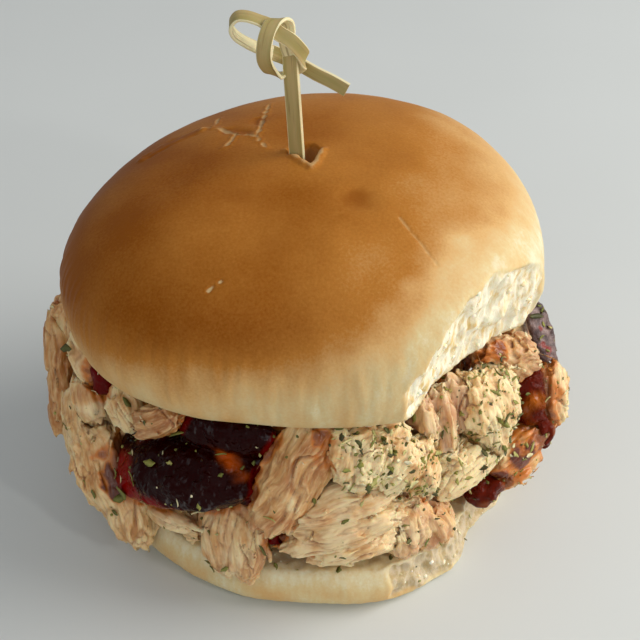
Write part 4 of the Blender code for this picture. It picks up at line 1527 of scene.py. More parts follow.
CHUNKS = (
    Chunk("chicken_front_slab", (-0.44, -0.20, -0.87), Fibre.FINE, 0.15, 0.15, 0.75, 0.0, 0.25),
    Chunk("chicken_front_fold", (0.93, 0.08, 0.30), Fibre.COARSE, 0.7, 0.25, 0.2, 0.0, 0.12),
    Chunk("chicken_front_top", (-0.45, -0.15, -0.85), Fibre.SHREDDED, 0.65, 0.0, 0.25, 0.0, 2.4),
    Chunk("chicken_front_low", (0.2, -0.2, -0.95), Fibre.COARSE, 0.3, 0.55, 0.4, 0.0, 0.5),
    Chunk("chicken_low_slab", (0.04, -0.28, -0.95), Fibre.COARSE, 0.35, 0.3, 0.45, 0.0, 0.15),
    Chunk("chicken_low_strand", (0.72, -0.62, 0.12), Fibre.FINE, 0.45, 0.2, 0.2, 0.0, 0.1),
    Chunk("chicken_left_strip", (0.04, -0.56, -0.82), Fibre.COARSE, 0.1, 0.0, 1.0, 0.0, 0.1),
    Chunk("chicken_left_top", (0.1, -0.1, -0.95), Fibre.COARSE, 0.1, 0.1, 0.8, 0.0, 0.3),
    Chunk("chicken_left_pale", (0.40, -0.55, -0.70), Fibre.FINE, 0.6, 0.15, 0.25, 0.0, 0.2),
    Chunk("chicken_left_mid", (0.2, -0.3, -0.9), Fibre.COARSE, 0.3, 0.25, 0.3, 0.0, 0.3),
    Chunk("chicken_left_lump", (0.4, -0.4, -0.8), Fibre.FINE, 0.7, 0.0, 0.2, 0.0, 0.3),
    # The tongue's strong brown and no pale are partly painted shade: it lies in the crown's shadow.
    Chunk("chicken_left_tongue", (0.62, -0.50, 0.60), Fibre.FINE, 0.0, 0.15, 1.2, 0.0, 0.5),
    Chunk("chicken_left_heap", (0.2, -0.38, -0.88), Fibre.COARSE, 0.4, 0.05, 0.5, 0.0, 0.3),
    Chunk("chicken_bite_strands", (0.15, -0.20, -0.96), Fibre.FINE, 0.45, 0.75, 0.1, 0.0, 1.0),
    Chunk("chicken_bite_mound", (0.2, -0.1, -0.95), Fibre.SHREDDED, 0.5, 0.0, 0.2, 0.0, 2.2),
    Chunk("chicken_bite_wedge", (0.66, 0.46, 0.42), Fibre.FINE, 1.0, 0.0, 0.0, 0.0, 1.0),
    Chunk("chicken_right_top", (0.5, 0.4, -0.6), Fibre.FINE, 0.3, 0.5, 0.6, 0.12, 0.6),
    Chunk("chicken_right_outer", (0.25, -0.50, -0.8), Fibre.FINE, 0.8, 0.0, 0.3, 0.36, 1.0),
    Chunk("chicken_right_low", (0.65, 0.55, 0.25), Fibre.FINE, 0.4, 0.1, 0.8, 0.5, 1.0),
    Chunk("chicken_right_side", (0.05, 0.4, -0.9), Fibre.COARSE, 0.25, 0.2, 0.45, 0.1, 0.3, 0.7),
    Chunk("chicken_back_1", (-0.3, 0.5, -0.8), Fibre.COARSE, 0.3, 0.2, 0.4, 0.1, 0.3, 1.0),
    Chunk("chicken_back_2", (0.75, 0.1, -0.65), Fibre.COARSE, 0.5, 0.15, 0.3, 0.0, 0.3, 1.0),
    Chunk("chicken_back_3", (-0.2, 0.1, -0.95), Fibre.FINE, 0.45, 0.1, 0.3, 0.0, 0.3, 1.0),
    Chunk("chicken_back_4", (0.65, 0.05, -0.75), Fibre.COARSE, 0.2, 0.25, 0.6, 0.1, 0.3, 1.0),
    Chunk("chicken_back_5", (-0.7, -0.1, -0.7), Fibre.FINE, 0.4, 0.1, 0.35, 0.0, 0.3, 1.0),
    Chunk("chicken_back_6", (0.1, 0.65, -0.75), Fibre.COARSE, 0.3, 0.15, 0.5, 0.0, 0.3, 1.0),
)
# Stained dark all over, so the gaps between the pieces, where the bed shows, are dark.
BED = Chunk("chicken_bed", (0.15, 0.1, -1.0), Fibre.COARSE, 0.1, 0.2, 0.7, 1.2, 0.1)

# Sauce that has run onto the chicken: place, reach and strength.
SPLASHES = (
    ((-33.4, -25.0, 20.5), 5.5, 3.5),
    ((-36.5, -22.0, 25.0), 4.5, 0.9),
    ((2.4, -35.2, 39.6), 3.4, 0.8),
    ((3.0, -35.8, 36.0), 2.6, 0.55),
    ((32.2, -13.6, 41.1), 3.2, 0.9),
    ((29.5, -14.5, 41.3), 2.6, 0.7),
    ((41.6, -5.3, 31.0), 4.2, 0.6),
    ((42.6, -9.6, 27.0), 5.0, 0.55),
    ((37.6, -16.4, 19.0), 4.2, 1.5),
    ((33.2, -19.2, 15.0), 3.8, 1.5),
    ((20.0, -29.0, 22.0), 2.6, 0.5),
    ((-6.0, -33.6, 21.0), 4.0, 0.5),
)


@dataclass
class Filling:
    """The pulled chicken: every piece round the bed, and the bed."""

    voxel: float = 0.28
    bed_voxel: float = 0.55
    bed_seed: int = 77
    bed_spacing: float = 2.5
    stain_reach: float = 2.6
    billow: float = 1.6  # the height of the lumps on a tangled piece

    def strands(self, tree: BVHTree, points: Array, faces: Sequence, grain: Array,
                fibre: Fibre, seed: int, spacing: float = 1.0) -> list[Shape]:
        """Torn strands that lie on a piece along its grain.

        Args:
            tree: The piece's surface.
            points: Its points.
            faces: Its triangles.
            grain: Which way its fibres run.
            fibre: How many strands there are and their sizes.
            seed: Fixes where they lie.
            spacing: Fewer strands where it is over 1.

        Returns:
            Points and faces of each strand.
        """
        draw = np.random.default_rng(seed)
        corners = points[np.array([face[:3] for face in faces])]
        sides = corners[:, 1:] - corners[:, :1]
        area = np.linalg.norm(np.cross(sides[:, 0], sides[:, 1]), axis=1) / 2
        density, width, length, flat, stray = fibre.value
        count = int(area.sum() * density / 100 / spacing)
        picked = draw.choice(len(area), count, p=area / area.sum())
        made = []
        turns = np.linspace(0, 2 * math.pi, 7)[:-1]
        for corner in corners[picked]:
            weights = draw.dirichlet((1, 1, 1))
            start = weights @ corner
            spot, normal, _, _ = tree.find_nearest(start)
            along = grain + draw.normal(size=3) * stray
            along = unit(along - np.dot(along, normal) * np.array(normal))
            reach = length * draw.uniform(0.5, 1.2)
            wide = width * draw.uniform(0.55, 1.3) / 2
            thick = wide * flat * draw.uniform(0.8, 1.2)
            free_end = draw.uniform(0.0, 1.0) ** 3 * 1.1
            side = draw.normal() * 0.12
            rings = []
            for share in np.linspace(-1, 1, 7):
                across = np.cross(np.array(normal), along)
                aim = np.array(spot) + along * (reach / 2 * share)
                aim = aim + across * (side * reach * share * share)
                place, facing, _, _ = tree.find_nearest(aim)
                place, facing = np.array(place), np.array(facing)
                lift = -0.15 * thick + free_end * max(0.0, share) ** 2
                lift -= 0.5 * thick * max(0.0, -share) ** 2
                taper = math.sqrt(max(1 - abs(share) ** 5.0, 0.12))
                across = unit(np.cross(facing, along))
                ring = (place + facing * lift + np.outer(np.cos(turns) * wide * taper, across)
                        + np.outer(np.sin(turns) * thick * taper, facing))
                rings.append(ring)
            made.append(loft(np.array(rings)))
        return made

    def relief(self, points: Array, normals: Array, grain: Array, seed: int,
               shredded: bool) -> tuple[Array, Array, Array]:
        """Fibres, splits and torn ends.

        Args:
            points: The piece's points.
            normals: Their outward directions.
            grain: Which way its fibres run.
            seed: Fixes the pattern.
            shredded: Whether its fibres are short.

        Returns:
            The shaped points, how deep each lies in a crease, for painted shade, and its place
            along the grain.
        """
        side = unit(np.cross(grain, (0.31, 0.22, 0.93)))
        other = np.cross(grain, side)
        place = np.column_stack([points @ grain, points @ side, points @ other])
        bend = np.column_stack([Noise(seed + k).at(points, 6.5) for k in (1, 2, 3)])
        place = place + bend * (0.6, 0.9, 0.9)
        long = 4.5 if shredded else 8.5
        broad = 1.2 if shredded else 2.0
        bundle = Noise(seed + 4).at(place, (long * 1.3, broad, broad))
        fibre = Noise(seed + 5).at(place, (long * 0.7, 0.75, 0.75))
        split = Noise(seed + 6).at(place, (long * 1.2, 3.6, 3.6))
        sided = 1 - 0.7 * np.abs(normals @ grain) ** 2
        gap = ease(0.11, 0.0, np.abs(split)) * ease(-0.2, 0.3, Noise(seed + 7).at(points, 6.0))
        rounded = np.minimum(np.abs(bundle), 0.42)
        height = sided * (0.48 * broad * rounded + 0.30 * np.abs(fibre) - 0.60 * gap) - 0.14 * broad
        facing = normals @ grain
        ends = Noise(seed + 9).at(place * (0.2, 1, 1), 1.3) * 1.3 - 0.5
        push = np.sign(facing) * ease(0.45, 0.9, np.abs(facing)) * ends
        shaped = points + normals * height[:, None] + grain * push[:, None]
        crease = np.clip(0.7 * sided * ease(0.09, 0.0, np.abs(bundle)) + 0.6 * gap, 0, 1)
        return shaped, crease, place

    def build(self, finish: Material, sauces: Sequence[BVHTree]) -> list[Object]:
        """Makes every piece of chicken.

        Args:
            finish: The chicken material.
            sauces: Surfaces of the sauce, which stains what it touches.

        Returns:
            The finished pieces.
        """
        made = []
        everything = self._whole_tree()
        for number, chunk in enumerate(CHUNKS):
            seed = 100 + 20 * number
            grain = unit(np.array(chunk.grain))
            points, faces = node_shape(chunk.node)
            tree = BVHTree.FromPolygons([Vector(p) for p in points], faces)
            strands = self.strands(tree, points, faces, grain, chunk.fibre, seed)
            strands += self.strands(everything, points, faces, grain, Fibre.WISP, seed + 10)
            if chunk.tangle:
                strands += self.strands(everything, points, faces, grain, Fibre.SHRED, seed + 11,
                                        1 / chunk.tangle)
            name = chunk.node.replace("chicken", "pulled")
            piece = Sculpt.of_parts(name, [(points, faces), *strands])
            piece.remesh(self.voxel)
            piece.relax(1)
            lumps = chunk.tangle * Noise(seed + 12).at(piece.points, 6.5)
            height = self.billow * lumps - 0.2 * chunk.tangle
            piece.points = piece.points + piece.normals * height[:, None]
            shredded = chunk.fibre is Fibre.SHREDDED
            shaped, crease, place = self.relief(piece.points, piece.normals, grain, seed, shredded)
            piece.points = shaped
            self._colour(piece, chunk, shaped, crease, place, sauces)
            made.append(piece.settle(finish, "chicken", chunk.node))
        return made

    def _whole_tree(self) -> BVHTree:
        """All the chicken as one, over which long wisps reach from piece to piece.

        Returns:
            Its surface.
        """
        corners, faces = [], []
        for chunk in (BED, *CHUNKS):
            points, sides = node_shape(chunk.node)
            faces += [[i + len(corners) for i in side] for side in sides]
            corners += [Vector(point) for point in points]
        return BVHTree.FromPolygons(corners, faces)

    def _colour(self, piece: Sculpt, chunk: Chunk, points: Array, crease: Array,
                place: Array, sauces: Sequence[BVHTree]) -> None:
        """Stores what the chicken's finish reads.

        Args:
            piece: The piece.
            chunk: What it is like.
            points: Its points.
            crease: How deep each lies in a crease, painted as shade.
            place: Their places along the grain.
            sauces: Surfaces of the sauce.
        """
        touch = ease(self.stain_reach, 0.5, gap_to(points, sauces, self.stain_reach)) * 0.8
        patches = chunk.stain * ease(-0.5, 0.4, Noise(61).at(points, 5.0))
        stain = np.maximum(touch, np.minimum(patches, 1.0))
        for spot, reach, strength in SPLASHES:
            away = np.linalg.norm(points - spot, axis=1) + 1.2 * Noise(62).at(points, 2.4)
            stain = np.maximum(stain, strength * ease(reach, reach * 0.35, away))
        one = np.ones(len(points))
        piece.paint("strand", place)
        # From how far each point stands out: painted highlight on bulges, painted shade in hollows
        # and creases.
        hollow = piece.spread(points, 10) - points
        outward = -np.einsum("ij,ij->i", hollow, piece.normals)
        piece.paint("ridge", ease(0.02, 0.22, outward))
        piece.paint("crease", np.maximum(crease * 0.7, 0.85 * ease(-0.03, -0.30, outward)))
        piece.paint("stain", stain)
        piece.paint("pale", one * chunk.pale)
        piece.paint("blush", one * chunk.blush)
        piece.paint("brown", one * chunk.brown)
        piece.paint("season", one * min(1.0, 0.35 + chunk.herbs))
        piece.paint("herbs", one * chunk.herbs)

    def build_bed(self, finish: Material, sauces: Sequence[BVHTree]) -> Object:
        """Makes the core that runs through the slider.

        Args:
            finish: The chicken material.
            sauces: Surfaces of the sauce.

        Returns:
            The finished piece.
        """
        grain = unit(np.array(BED.grain))
        points, faces = node_shape(BED.node)
        tree = BVHTree.FromPolygons([Vector(p) for p in points], faces)
        strands = self.strands(tree, points, faces, grain, BED.fibre, self.bed_seed,
                               self.bed_spacing)
        bed = Sculpt.of_parts("pulled_bed", [(points, faces), *strands])
        bed.remesh(self.bed_voxel)
        shaped, crease, place = self.relief(bed.points, bed.normals, grain, self.bed_seed, False)
        bed.points = shaped
        self._colour(bed, BED, shaped, crease, place, sauces)
        return bed.settle(finish, "chicken", BED.node)


# --- sauce and skin ---
@dataclass
class Sauce:
    """The sauce: a deep pool, runs and drops."""

    voxel: float = 0.42
    pool_rounds: int = 14  # how often the pool's shape is evened out
    drop_rounds: int = 6
    pool: str = "sauce_pool"
    drops: tuple = ("sauce_left_drop", "sauce_under_slab")
    runs: tuple = ("sauce_right_run", "sauce_right_glob", "sauce_back")
    glow_streak: tuple = ((-14.6, -29.6, 34.6), (-13.0, -31.5, 32.6), (-11.6, -32.8, 30.4))
    glow_reach: float = 2.2
    red_spots: tuple = (
        (-33.0, -24.5, 22.0), (-31.0, -27.0, 18.5), (-26.0, -31.0, 18.5), (-21.0, -34.0, 18.5),
        (-14.0, -36.0, 19.5),
    )

    @property
    def nodes(self) -> tuple:
        """Every node of sauce."""
        return (self.pool, *self.drops, *self.runs)

    def trees(self) -> list[BVHTree]:
        """Surfaces of all the sauce, for what it stains."""
        return [surface_tree(frame["nodes"][name]) for name in self.nodes]

    def build(self, finish: Material, thinned: Material,
              chicken: Sequence[BVHTree]) -> list[Object]:
        """Makes every puddle and drop.

        Args:
            finish: The sauce material.
            thinned: The material where it has run thin.
            chicken: Surfaces of the chicken, where the sauce thins out.

        Returns:
            The finished pieces.
        """
        made = []
        for number, name in enumerate(self.nodes):
            pooled, runny = name == self.pool, name in self.runs
            piece = Sculpt(name.replace("sauce", "glaze"), *node_shape(name))
            piece.remesh(self.voxel)
            piece.relax(self.pool_rounds if pooled else self.drop_rounds)
            points, normals = piece.points, piece.normals
            swell = 0.20 + 0.45 * Noise(200 + number).at(points, 4.5)
            swell += 0.20 * Noise(210 + number).at(points, 2.0)
            if not pooled:
                swell += 0.45 * Noise(240 + number).at(points, 1.7) - 0.1
            points = points + normals * swell[:, None]
            piece.points = points
            thin = 0.7 * ease(2.4, 0.4, gap_to(points, chicken, 3.0))
            for spot in self.red_spots:
                thin = np.maximum(thin, ease(8.0, 2.0, np.linalg.norm(points - spot, axis=1)))
            away = distance_to_path(points, self.glow_streak) + 0.5 * Noise(220).at(points, 1.8)
            glow = 0.85 * ease(self.glow_reach, 0.2, away)
            if runny:
                glow = np.maximum(glow, 0.65 * ease(-0.1, 0.8, Noise(230).at(points, 4.5)))
            piece.paint("thin", thin if pooled else np.maximum(thin, 0.6))
            piece.paint("glow", glow)
            piece.paint("herbs", np.full(len(points), 0.45 if pooled else 0.7))
            made.append(piece.settle(thinned if runny else finish, "sauce", name))
        return made


@dataclass
class RoastedSkin:
    """The strip of dark skin on the bitten side."""

    voxel: float = 0.35

    def build(self, finish: Material) -> Object:
        """Makes the crinkled strip.

        Args:
            finish: The skin material.

        Returns:
            The finished piece.
        """
        piece = Sculpt("skin_strip", *node_shape("chicken_skin"))
        piece.remesh(self.voxel)
        piece.relax(2)
        points, normals = piece.points, piece.normals
        height = 0.5 * Noise(71).at(points, 2.6) + 0.25 * Noise(72).at(points, 1.1)
        piece.points = points + normals * (height - 0.1)[:, None]
        piece.paint("herbs", np.full(len(points), 1.0))
        return piece.settle(finish, "chicken_skin", "chicken_skin")


# --- seasoning ---
def sliver(length: float, width: float, thick: float, curl: float, seed: int) -> Shape:
    """A small curled leaf or needle that lies along X and faces up.

    Args:
        length: Its length in millimetres.
        width: Its greatest width.
        thick: Its thickness.
        curl: How far its ends lift.
        seed: Fixes its uneven edge.

    Returns:
        Points and faces.
    """
    draw = random.Random(seed)
    rings = []
    for share in (-1.0, -0.55, -0.05, 0.5, 1.0):
        half = width / 2 * (max(1 - share * share, 0.04) ** 0.7) * draw.uniform(0.75, 1.15)
        lift = curl * share * share + 0.25 * thick
        bend = draw.uniform(-0.12, 0.12) * width
        ring = [(0, -half, 0.3 * curl), (0, 0, thick / 2), (0, half, 0.3 * curl), (0, 0, -thick / 2)]
        rings.append([(share * length / 2, y + bend, z + lift) for _, y, z in ring])
    return loft(np.array(rings))


def lump(size: float, seed: int) -> Shape:
    """A rough crumb.

    Args:
        size: About how large it is, in millimetres.
        seed: Fixes its shape.

    Returns:
        Points and faces.
    """
    draw = random.Random(seed)
    rings = []
    for level in (-0.42, -0.05, 0.36):
        reach = size / 2 * math.sqrt(1 - (level * 1.8) ** 2)
        ring = []
        for k in range(6):
            far = reach * draw.uniform(0.6, 1.2)
            ring.append((far * math.cos(k * math.pi / 3), far * math.sin(k * math.pi / 3),
                         level * size * draw.uniform(0.7, 1.2)))
        rings.append(ring)
    return loft(np.array(rings))


@dataclass
class Scatter:
    """Small shapes strewn over a surface, as thick as a stored number says."""

    name: str
    shapes: list[Shape]
    layer: str
    density: float
    smallest: float = 0.5
    largest: float = 1.4
    tilt: float = 0.5
    seed: int = 5

    def _tree(self) -> NodeTree:
        """Builds the nodes that strew the shapes.

        Returns:
            The node tree.
        """
        tree = bpy.data.node_groups.new(self.name, "GeometryNodeTree")
        for label, kind in (("Surface", "Geometry"), ("Shapes", "Collection"), ("Density", "Float"),
                            ("Smallest", "Float"), ("Largest", "Float"), ("Tilt", "Float"),
                            ("Finish", "Material")):
            tree.interface.new_socket(label, in_out="INPUT", socket_type=f"NodeSocket{kind}")
        tree.interface.new_socket("Strewn", in_out="OUTPUT", socket_type="NodeSocketGeometry")
        given = add_node(tree, "NodeGroupInput").outputs
        amount = add_node(tree, "GeometryNodeInputNamedAttribute", {"data_type": "FLOAT"},
                          {"Name": self.layer})
        thick = add_node(tree, "ShaderNodeMath", {"operation": "MULTIPLY"},
                         {0: amount.outputs["Attribute"], 1: given["Density"]})
        spots = add_node(tree, "GeometryNodeDistributePointsOnFaces",
                         {"distribute_method": "RANDOM"},
                         {"Mesh": given["Surface"], "Density": thick.outputs[0], "Seed": self.seed})
        kinds = add_node(tree, "GeometryNodeCollectionInfo", {},
                         {"Collection": given["Shapes"], "Separate Children": True,
                          "Reset Children": True})
        negative = add_node(tree, "ShaderNodeMath", {"operation": "MULTIPLY"},
                            {0: given["Tilt"], 1: -1.0})
        low = add_node(tree, "ShaderNodeCombineXYZ", {},
                       {0: negative.outputs[0], 1: negative.outputs[0], 2: -math.pi})
        high = add_node(tree, "ShaderNodeCombineXYZ", {},
                        {0: given["Tilt"], 1: given["Tilt"], 2: math.pi})
        turn = add_node(tree, "FunctionNodeRandomValue", {"data_type": "FLOAT_VECTOR"},
                        {0: low.outputs[0], 1: high.outputs[0], "Seed": self.seed + 1})
        turned_by = add_node(tree, "FunctionNodeEulerToRotation", {}, {0: turn.outputs[0]})
        rotation = add_node(tree, "FunctionNodeRotateRotation", {"rotation_space": "LOCAL"},
                            {"Rotation": spots.outputs["Rotation"],
                             "Rotate By": turned_by.outputs[0]})
        size = add_node(tree, "FunctionNodeRandomValue", {"data_type": "FLOAT"},
                        {2: given["Smallest"], 3: given["Largest"], "Seed": self.seed + 2})
        strewn = add_node(tree, "GeometryNodeInstanceOnPoints", {},
                          {"Points": spots.outputs["Points"], "Instance": kinds.outputs[0],
                           "Pick Instance": True, "Rotation": rotation.outputs[0],
                           "Scale": size.outputs[1]})
        tone = add_node(tree, "FunctionNodeRandomValue", {"data_type": "FLOAT"},
                        {2: 0.0, 3: 1.0, "Seed": self.seed + 3})
        marked = add_node(tree, "GeometryNodeStoreNamedAttribute",
                          {"data_type": "FLOAT", "domain": "INSTANCE"},
                          {"Geometry": strewn.outputs[0], "Name": "tone", "Value": tone.outputs[1]})
        real = add_node(tree, "GeometryNodeRealizeInstances", {}, {0: marked.outputs[0]})
        dressed = add_node(tree, "GeometryNodeSetMaterial", {},
                           {"Geometry": real.outputs[0], "Material": given["Finish"]})
        add_node(tree, "NodeGroupOutput", {}, {0: dressed.outputs[0]})
        return tree

    def build(self, hosts: Sequence[Object], finish: Material, slot: str) -> Object:
        """Strews the shapes over copies of the hosts.

        Args:
            hosts: Pieces that store the layer's number.
            finish: The shapes' material.
            slot: The record's material slot.

        Returns:
            The strewn shapes as one piece.
        """
        kinds = bpy.data.collections.new(self.name + "_kinds")
        for number, (points, faces) in enumerate(self.shapes):
            shape = Sculpt(f"{self.name}_{number}", points, faces)
            kinds.objects.link(shape.object)
            bpy.context.scene.collection.objects.unlink(shape.object)
        made = joined(self.name, hosts, self.layer)
        modifier = made.object.modifiers.new("strew", "NODES")
        modifier.node_group = self._tree()
        values = {"Shapes": kinds, "Density": self.density / MM**2, "Smallest": self.smallest,
                  "Largest": self.largest, "Tilt": self.tilt, "Finish": finish}
        for item in modifier.node_group.interface.items_tree:
            if item.name in values:
                modifier[item.identifier] = values[item.name]
        graph = bpy.context.evaluated_depsgraph_get()
        strewn = bpy.data.meshes.new_from_object(made.object.evaluated_get(graph))
        made.object.modifiers.clear()
        made.object.data = strewn
        for shape in list(kinds.objects):
            bpy.data.objects.remove(shape)
        bpy.data.collections.remove(kinds)
        return made.settle(finish, slot)


def joined(name: str, hosts: Sequence[Object], layer: str) -> Sculpt:
    """One copy of several pieces, for shapes to be strewn over.

    Args:
        name: Its name.
        hosts: The pieces.
        layer: Their stored number, kept where they face outwards.

    Returns:
        The copy.
    """
    parts, amounts = [], []
    for host in hosts:
        mesh = host.data
        places = gather(mesh.vertices, "co", 3) / MM
        facing = gather(mesh.vertex_normals, "vector", 3)
        away = np.hypot(places[:, 0], places[:, 1])
        outward = (facing[:, :2] * places[:, :2]).sum(axis=1) / np.maximum(away, 1.0)
        outward = outward + 0.6 * facing[:, 2]
        amount = gather(mesh.attributes[layer].data, "value")
        amounts.append(amount * ease(24.0, 27.0, away) * ease(-0.3, 0.3, outward))
        corners = gather(mesh.loops, "vertex_index", 1, np.int32)
        starts = gather(mesh.polygons, "loop_start", 1, np.int32)
        parts.append((places.astype(float), [c.tolist() for c in np.split(corners, starts[1:])]))
    made = Sculpt.of_parts(name, parts)
    made.paint(layer, np.concatenate(amounts))
    return made


@dataclass
class Herbs:
    """Dried herbs: loose flecks, thick in places, and the larger leaves."""

    density: float = 0.13
    smallest: float = 0.6
    largest: float = 1.7
    # Length, width, thickness and curl of each kind of fleck, and the size of a round one.
    kinds: tuple = (
        (1.5, 0.34, 0.16, 0.10), (0.9, 0.55, 0.12, 0.10),
        (1.2, 0.7, 0.12, 0.18), (0.6, 0.4, 0.14, 0.04),
    )
    grain: float = 0.42
    # Where they lie thick.
    heaps: tuple = (
        (6.4, -35.2, 41.5), (10.4, -33.2, 40.3), (12.0, -34.1, 39.9), (8.8, -36.8, 38.8),
        (13.6, -35.1, 38.2), (18.0, -33.1, 31.8), (19.9, -32.6, 26.8), (21.3, -28.9, 18.3),
        (31.8, -20.3, 36.8), (33.8, -19.6, 34.0), (32.9, -21.0, 32.9), (29.1, -24.4, 32.7),
        (30.4, -22.9, 25.5), (36.1, -15.2, 21.8), (22.0, -30.0, 41.0), (43.0, -8.0, 36.0),
        (41.0, -3.0, 39.0),
    )
    heap_reach: float = 4.4
    heap_core: float = 1.2
    heap_strength: float = 2.4
    most: float = 6.0
    leaf_thickness: float = 0.22
    leaf_curl: float = 0.12
    leaf_lift: float = 0.18
    cad_lengths: tuple = (1.7, 3.8)  # of the leaves that the CAD carries
    cad_widths: tuple = (0.7, 1.4)
    # Place, run of the leaf, length, width and tone.
    leaves: tuple = (
        ((-41.3, -11.7, 39.9), (0.6, -0.5, 0.4), 2.6, 1.5, 0.1),
        ((-30.8, -21.8, 36.3), (0.7, -0.6, 0.3), 2.2, 1.1, 0.25),
        ((-22.2, -27.6, 35.6), (0.8, -0.6, 0.1), 3.6, 2.2, 0.42),
        ((-31.8, -25.1, 19.6), (-0.3, -0.1, 1.0), 4.2, 1.8, 0.35),
        ((-33.1, -24.2, 16.4), (0.6, -0.4, 0.6), 2.4, 1.4, 0.3),
        ((-26.6, -27.9, 28.3), (0.9, -0.4, 0.2), 2.6, 1.3, 0.55),
        ((-37.7, -22.2, 15.9), (0.2, 0.3, 1.0), 2.4, 1.1, 0.3),
        ((-34.1, -24.9, 13.7), (1.0, -0.3, 0.2), 2.2, 1.0, 0.2),
        ((-7.9, -35.9, 15.8), (-0.5, 0.0, 1.0), 3.2, 0.7, 0.2),
        ((-16.6, -34.7, 10.0), (1.0, -0.2, 0.5), 2.2, 0.8, 0.3),
        ((-14.3, -35.8, 11.3), (0.8, -0.2, 0.8), 2.0, 0.8, 0.5),
        ((16.6, -33.9, 16.1), (1.0, 0.3, 0.4), 1.8, 0.9, 0.15),
        ((19.6, -32.0, 14.1), (0.5, 0.3, 0.9), 1.8, 0.8, 0.35),
        ((5.8, -38.4, 25.7), (0.9, 0.1, 0.6), 1.6, 0.8, 0.3),
        ((41.6, -3.1, 40.6), (0.8, -0.3, 0.6), 3.2, 1.2, 0.05),
        ((43.2, -8.6, 35.6), (0.8, -0.5, 0.2), 2.4, 1.3, 0.3),
    )

    def beds(self) -> list[tuple]:
        """Finds where the CAD carries a small flat leaf.

        Returns:
            Place, run, length and width of each.
        """
        found = []
        for chunk in CHUNKS:
            points, faces = node_shape(chunk.node)
            around: dict[int, list] = {}
            for face in faces:
                for corner in face:
                    around.setdefault(corner, []).append(face)
            for centre, fan in around.items():
                if len(fan) != 4:
                    continue
                corners = [points[list(face)] for face in fan]
                facing = unit(np.array([np.cross(c[1] - c[0], c[2] - c[0]) for c in corners]))
                if (facing @ facing[0]).min() < 0.998:
                    continue
                ring = points[[corner for corner in {c for f in fan for c in f} if corner != centre]]
                spans = ring[:, None] - ring[None]
                sizes = np.linalg.norm(spans, axis=2)
                far = np.unravel_index(sizes.argmax(), sizes.shape)
                length = sizes[far]
                run = spans[far] / length
                across = np.cross(facing[0], run)
                width = np.ptp(ring @ across)
                low, high = zip(self.cad_lengths, self.cad_widths)
                if low[0] < length < high[0] and low[1] < width < high[1]:
                    found.append((ring.mean(axis=0), run, length, width))
        return found

    def build(self, hosts: Sequence[Object], finish: Material) -> None:
        """Strews the flecks and lays the leaves.

        Args:
            hosts: The pieces that carry them.
            finish: The herb material.
        """
        for host in hosts:
            layer = host.data.attributes["herbs"]
            amount = gather(layer.data, "value")
            places = gather(host.data.vertices, "co", 3) / MM
            for heap in self.heaps:
                away = np.linalg.norm(places - heap, axis=1)
                amount += self.heap_strength * ease(self.heap_reach, self.heap_core, away)
            layer.data.foreach_set("value", np.minimum(amount, self.most))
        shapes = [sliver(*kind, seed) for seed, kind in enumerate(self.kinds, 1)]
        shapes.append(lump(self.grain, 5))
        flecks = Scatter("herb_flecks", shapes, "herbs", self.density, self.smallest, self.largest)
        flecks.build(hosts, finish, "chicken")
        grounds = [surface_tree(host) for host in hosts]
        parts, tones = [], []
        draw = random.Random(9)
        wanted = [*self.leaves, *((*bed, draw.uniform(0.0, 0.7)) for bed in self.beds())]
        for number, (spot, run, length, width, tone) in enumerate(wanted):
            nearest = min((tree.find_nearest(spot) for tree in grounds), key=lambda hit: hit[3])
            place, facing = np.array(nearest[0]), np.array(nearest[1])
            run = np.asarray(run, float)
            along = unit(run - facing * (run @ facing))
            points, faces = sliver(length, width, self.leaf_thickness, self.leaf_curl * width,
                                   50 + number)
            frame_of = np.array([along, np.cross(facing, along), facing])
            parts.append((points @ frame_of + place + facing * self.leaf_lift, faces))
            tones.append(np.full(len(points), tone))
        leaves = Sculpt.of_parts("herb_leaves", parts)
        leaves.paint("tone", np.concatenate(tones))
        leaves.settle(finish, "chicken")
        LOG.info("%d leaves", len(parts))


@dataclass(frozen=True)
class CrumbFinish:
    """Loose white crumbs of bread."""

    name: str = "bread crumbs"
    light: Colour = shade(252, 246, 226)
    toasted: Colour = shade(240, 220, 176)

    def make(self) -> Material:
        """Builds its nodes.

        Returns:
            The material.
        """
        recipe = Recipe(self.name)
        colour = recipe.ramp(recipe.painted("tone"), (0.0, self.light), (1.0, self.toasted))
        return recipe.surface(
            Base_Color=colour,
            Roughness=0.85,
            Subsurface_Weight=0.3,
            Subsurface_Scale=0.001,
            Normal=recipe.relief((recipe.noise(0.4, 3.0), 0.1)),
        )


# --- studio ---
@dataclass(frozen=True)
class Lamp:
    """A soft lamp: its place in millimetres, width in metres, power in watts and colour."""

    name: str
    place: tuple[float, float, float]
    size: float
    power: float
    colour: tuple[float, float, float]


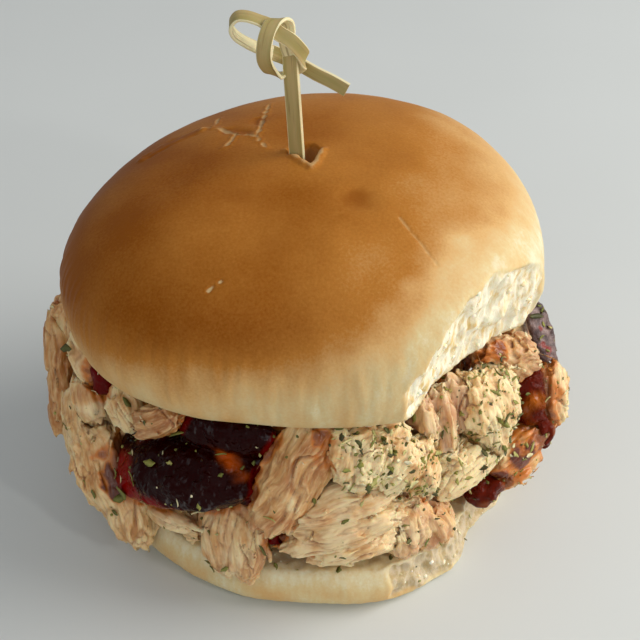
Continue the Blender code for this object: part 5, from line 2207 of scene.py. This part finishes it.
@dataclass
class Studio:
    """A pale floor, soft light from the right and the camera."""

    camera_place: tuple = (1.7, -204.0, 197.9)
    aim: tuple = (1.7, 0.0, 36.8)
    lens: float = 82.0
    floor_size: float = 6.0
    floor_dark: Colour = shade(210, 213, 211)
    floor_light: Colour = shade(216, 219, 217)
    floor_pattern: float = 60.0
    lamps: tuple = (
        Lamp("key", (640.0, 15.0, 455.0), 0.60, 5.4, (1.0, 0.97, 0.93)),
        Lamp("window", (430.0, -450.0, 380.0), 0.055, 0.50, (1.0, 0.98, 0.95)),
        Lamp("glint", (-40.0, -640.0, 90.0), 0.024, 0.14, (1.0, 0.98, 0.95)),
        Lamp("fill", (-120.0, -420.0, 420.0), 0.6, 0.4, (0.96, 0.98, 1.0)),
    )
    sky: float = 0.38
    sky_colour: tuple = (0.93, 0.97, 1.0, 1.0)

    def build(self) -> None:
        """Sets it all up."""
        scene = bpy.context.scene
        scene.view_settings.view_transform = "Standard"
        self._floor()
        for lamp in self.lamps:
            self._light(lamp)
        world = bpy.data.worlds.new("studio")
        world.use_nodes = True
        backdrop = world.node_tree.nodes["Background"]
        backdrop.inputs["Color"].default_value = self.sky_colour
        backdrop.inputs["Strength"].default_value = self.sky
        scene.world = world
        data = bpy.data.cameras.new("camera")
        data.lens = self.lens
        data.sensor_width = 36.0
        data.clip_start = 0.01
        camera = bpy.data.objects.new("camera", data)
        camera.location = Vector(self.camera_place) * MM
        camera.rotation_euler = self._facing(self.camera_place)
        scene.collection.objects.link(camera)
        scene.camera = camera

    def _facing(self, place: tuple) -> Euler:
        """The rotation that looks from a place at the slider."""
        return (Vector(self.aim) - Vector(place)).to_track_quat("-Z", "Y").to_euler()

    def _light(self, lamp: Lamp) -> None:
        """Adds a lamp aimed at the slider.

        Args:
            lamp: What it is like.
        """
        data = bpy.data.lights.new(lamp.name, "AREA")
        data.shape = "DISK"
        data.size = lamp.size
        data.energy = lamp.power
        data.color = lamp.colour
        light = bpy.data.objects.new(lamp.name, data)
        light.location = Vector(lamp.place) * MM
        light.rotation_euler = self._facing(lamp.place)
        bpy.context.scene.collection.objects.link(light)

    def _floor(self) -> None:
        """Lays the pale floor."""
        half = self.floor_size / 2
        mesh = bpy.data.meshes.new("floor")
        corners = [(-half, -half, 0), (half, -half, 0), (half, half, 0), (-half, half, 0)]
        mesh.from_pydata(corners, [], [(0, 1, 2, 3)])
        floor = bpy.data.objects.new("floor", mesh)
        bpy.context.scene.collection.objects.link(floor)
        recipe = Recipe("pale floor")
        cloud = recipe.noise(self.floor_pattern, 2.0)
        colour = recipe.ramp(cloud, (0.0, self.floor_dark), (1.0, self.floor_light))
        mesh.materials.append(recipe.surface(Base_Color=colour, Roughness=0.5))


def main() -> None:
    """Builds the slider and its studio."""
    logging.basicConfig(level=logging.INFO, format="%(message)s")
    bread = BreadFinish().make()
    torn_bread = TornBreadFinish().make()
    chicken = ChickenFinish().make()
    sauce_finish = SauceFinish().make()
    thinned = ThinSauceFinish().make()
    pick = Pick()
    sauce = Sauce()
    crown = Crown().build(bread, pick.channel())
    heel = Heel().build(torn_bread)
    pick.build(BambooFinish().make())
    sauces = sauce.trees()
    filling = Filling()
    pieces = filling.build(chicken, sauces)
    pieces.append(filling.build_bed(chicken, sauces))
    near = [surface_tree(frame["nodes"][chunk.node]) for chunk in CHUNKS]
    pieces += sauce.build(sauce_finish, thinned, near)
    pieces.append(RoastedSkin().build(SkinFinish().make()))
    Herbs().build([*pieces, heel], HerbFinish().make())
    shapes = [lump(size, seed) for seed, size in enumerate(CRUMB_SIZES, 11)]
    crumbs = Scatter("bread_crumbs", shapes, "crumb", 0.05, tilt=3.0)
    crumbs.build([crown, heel], CrumbFinish().make(), "bun")
    Studio().build()


if __name__ == "__main__":
    main()
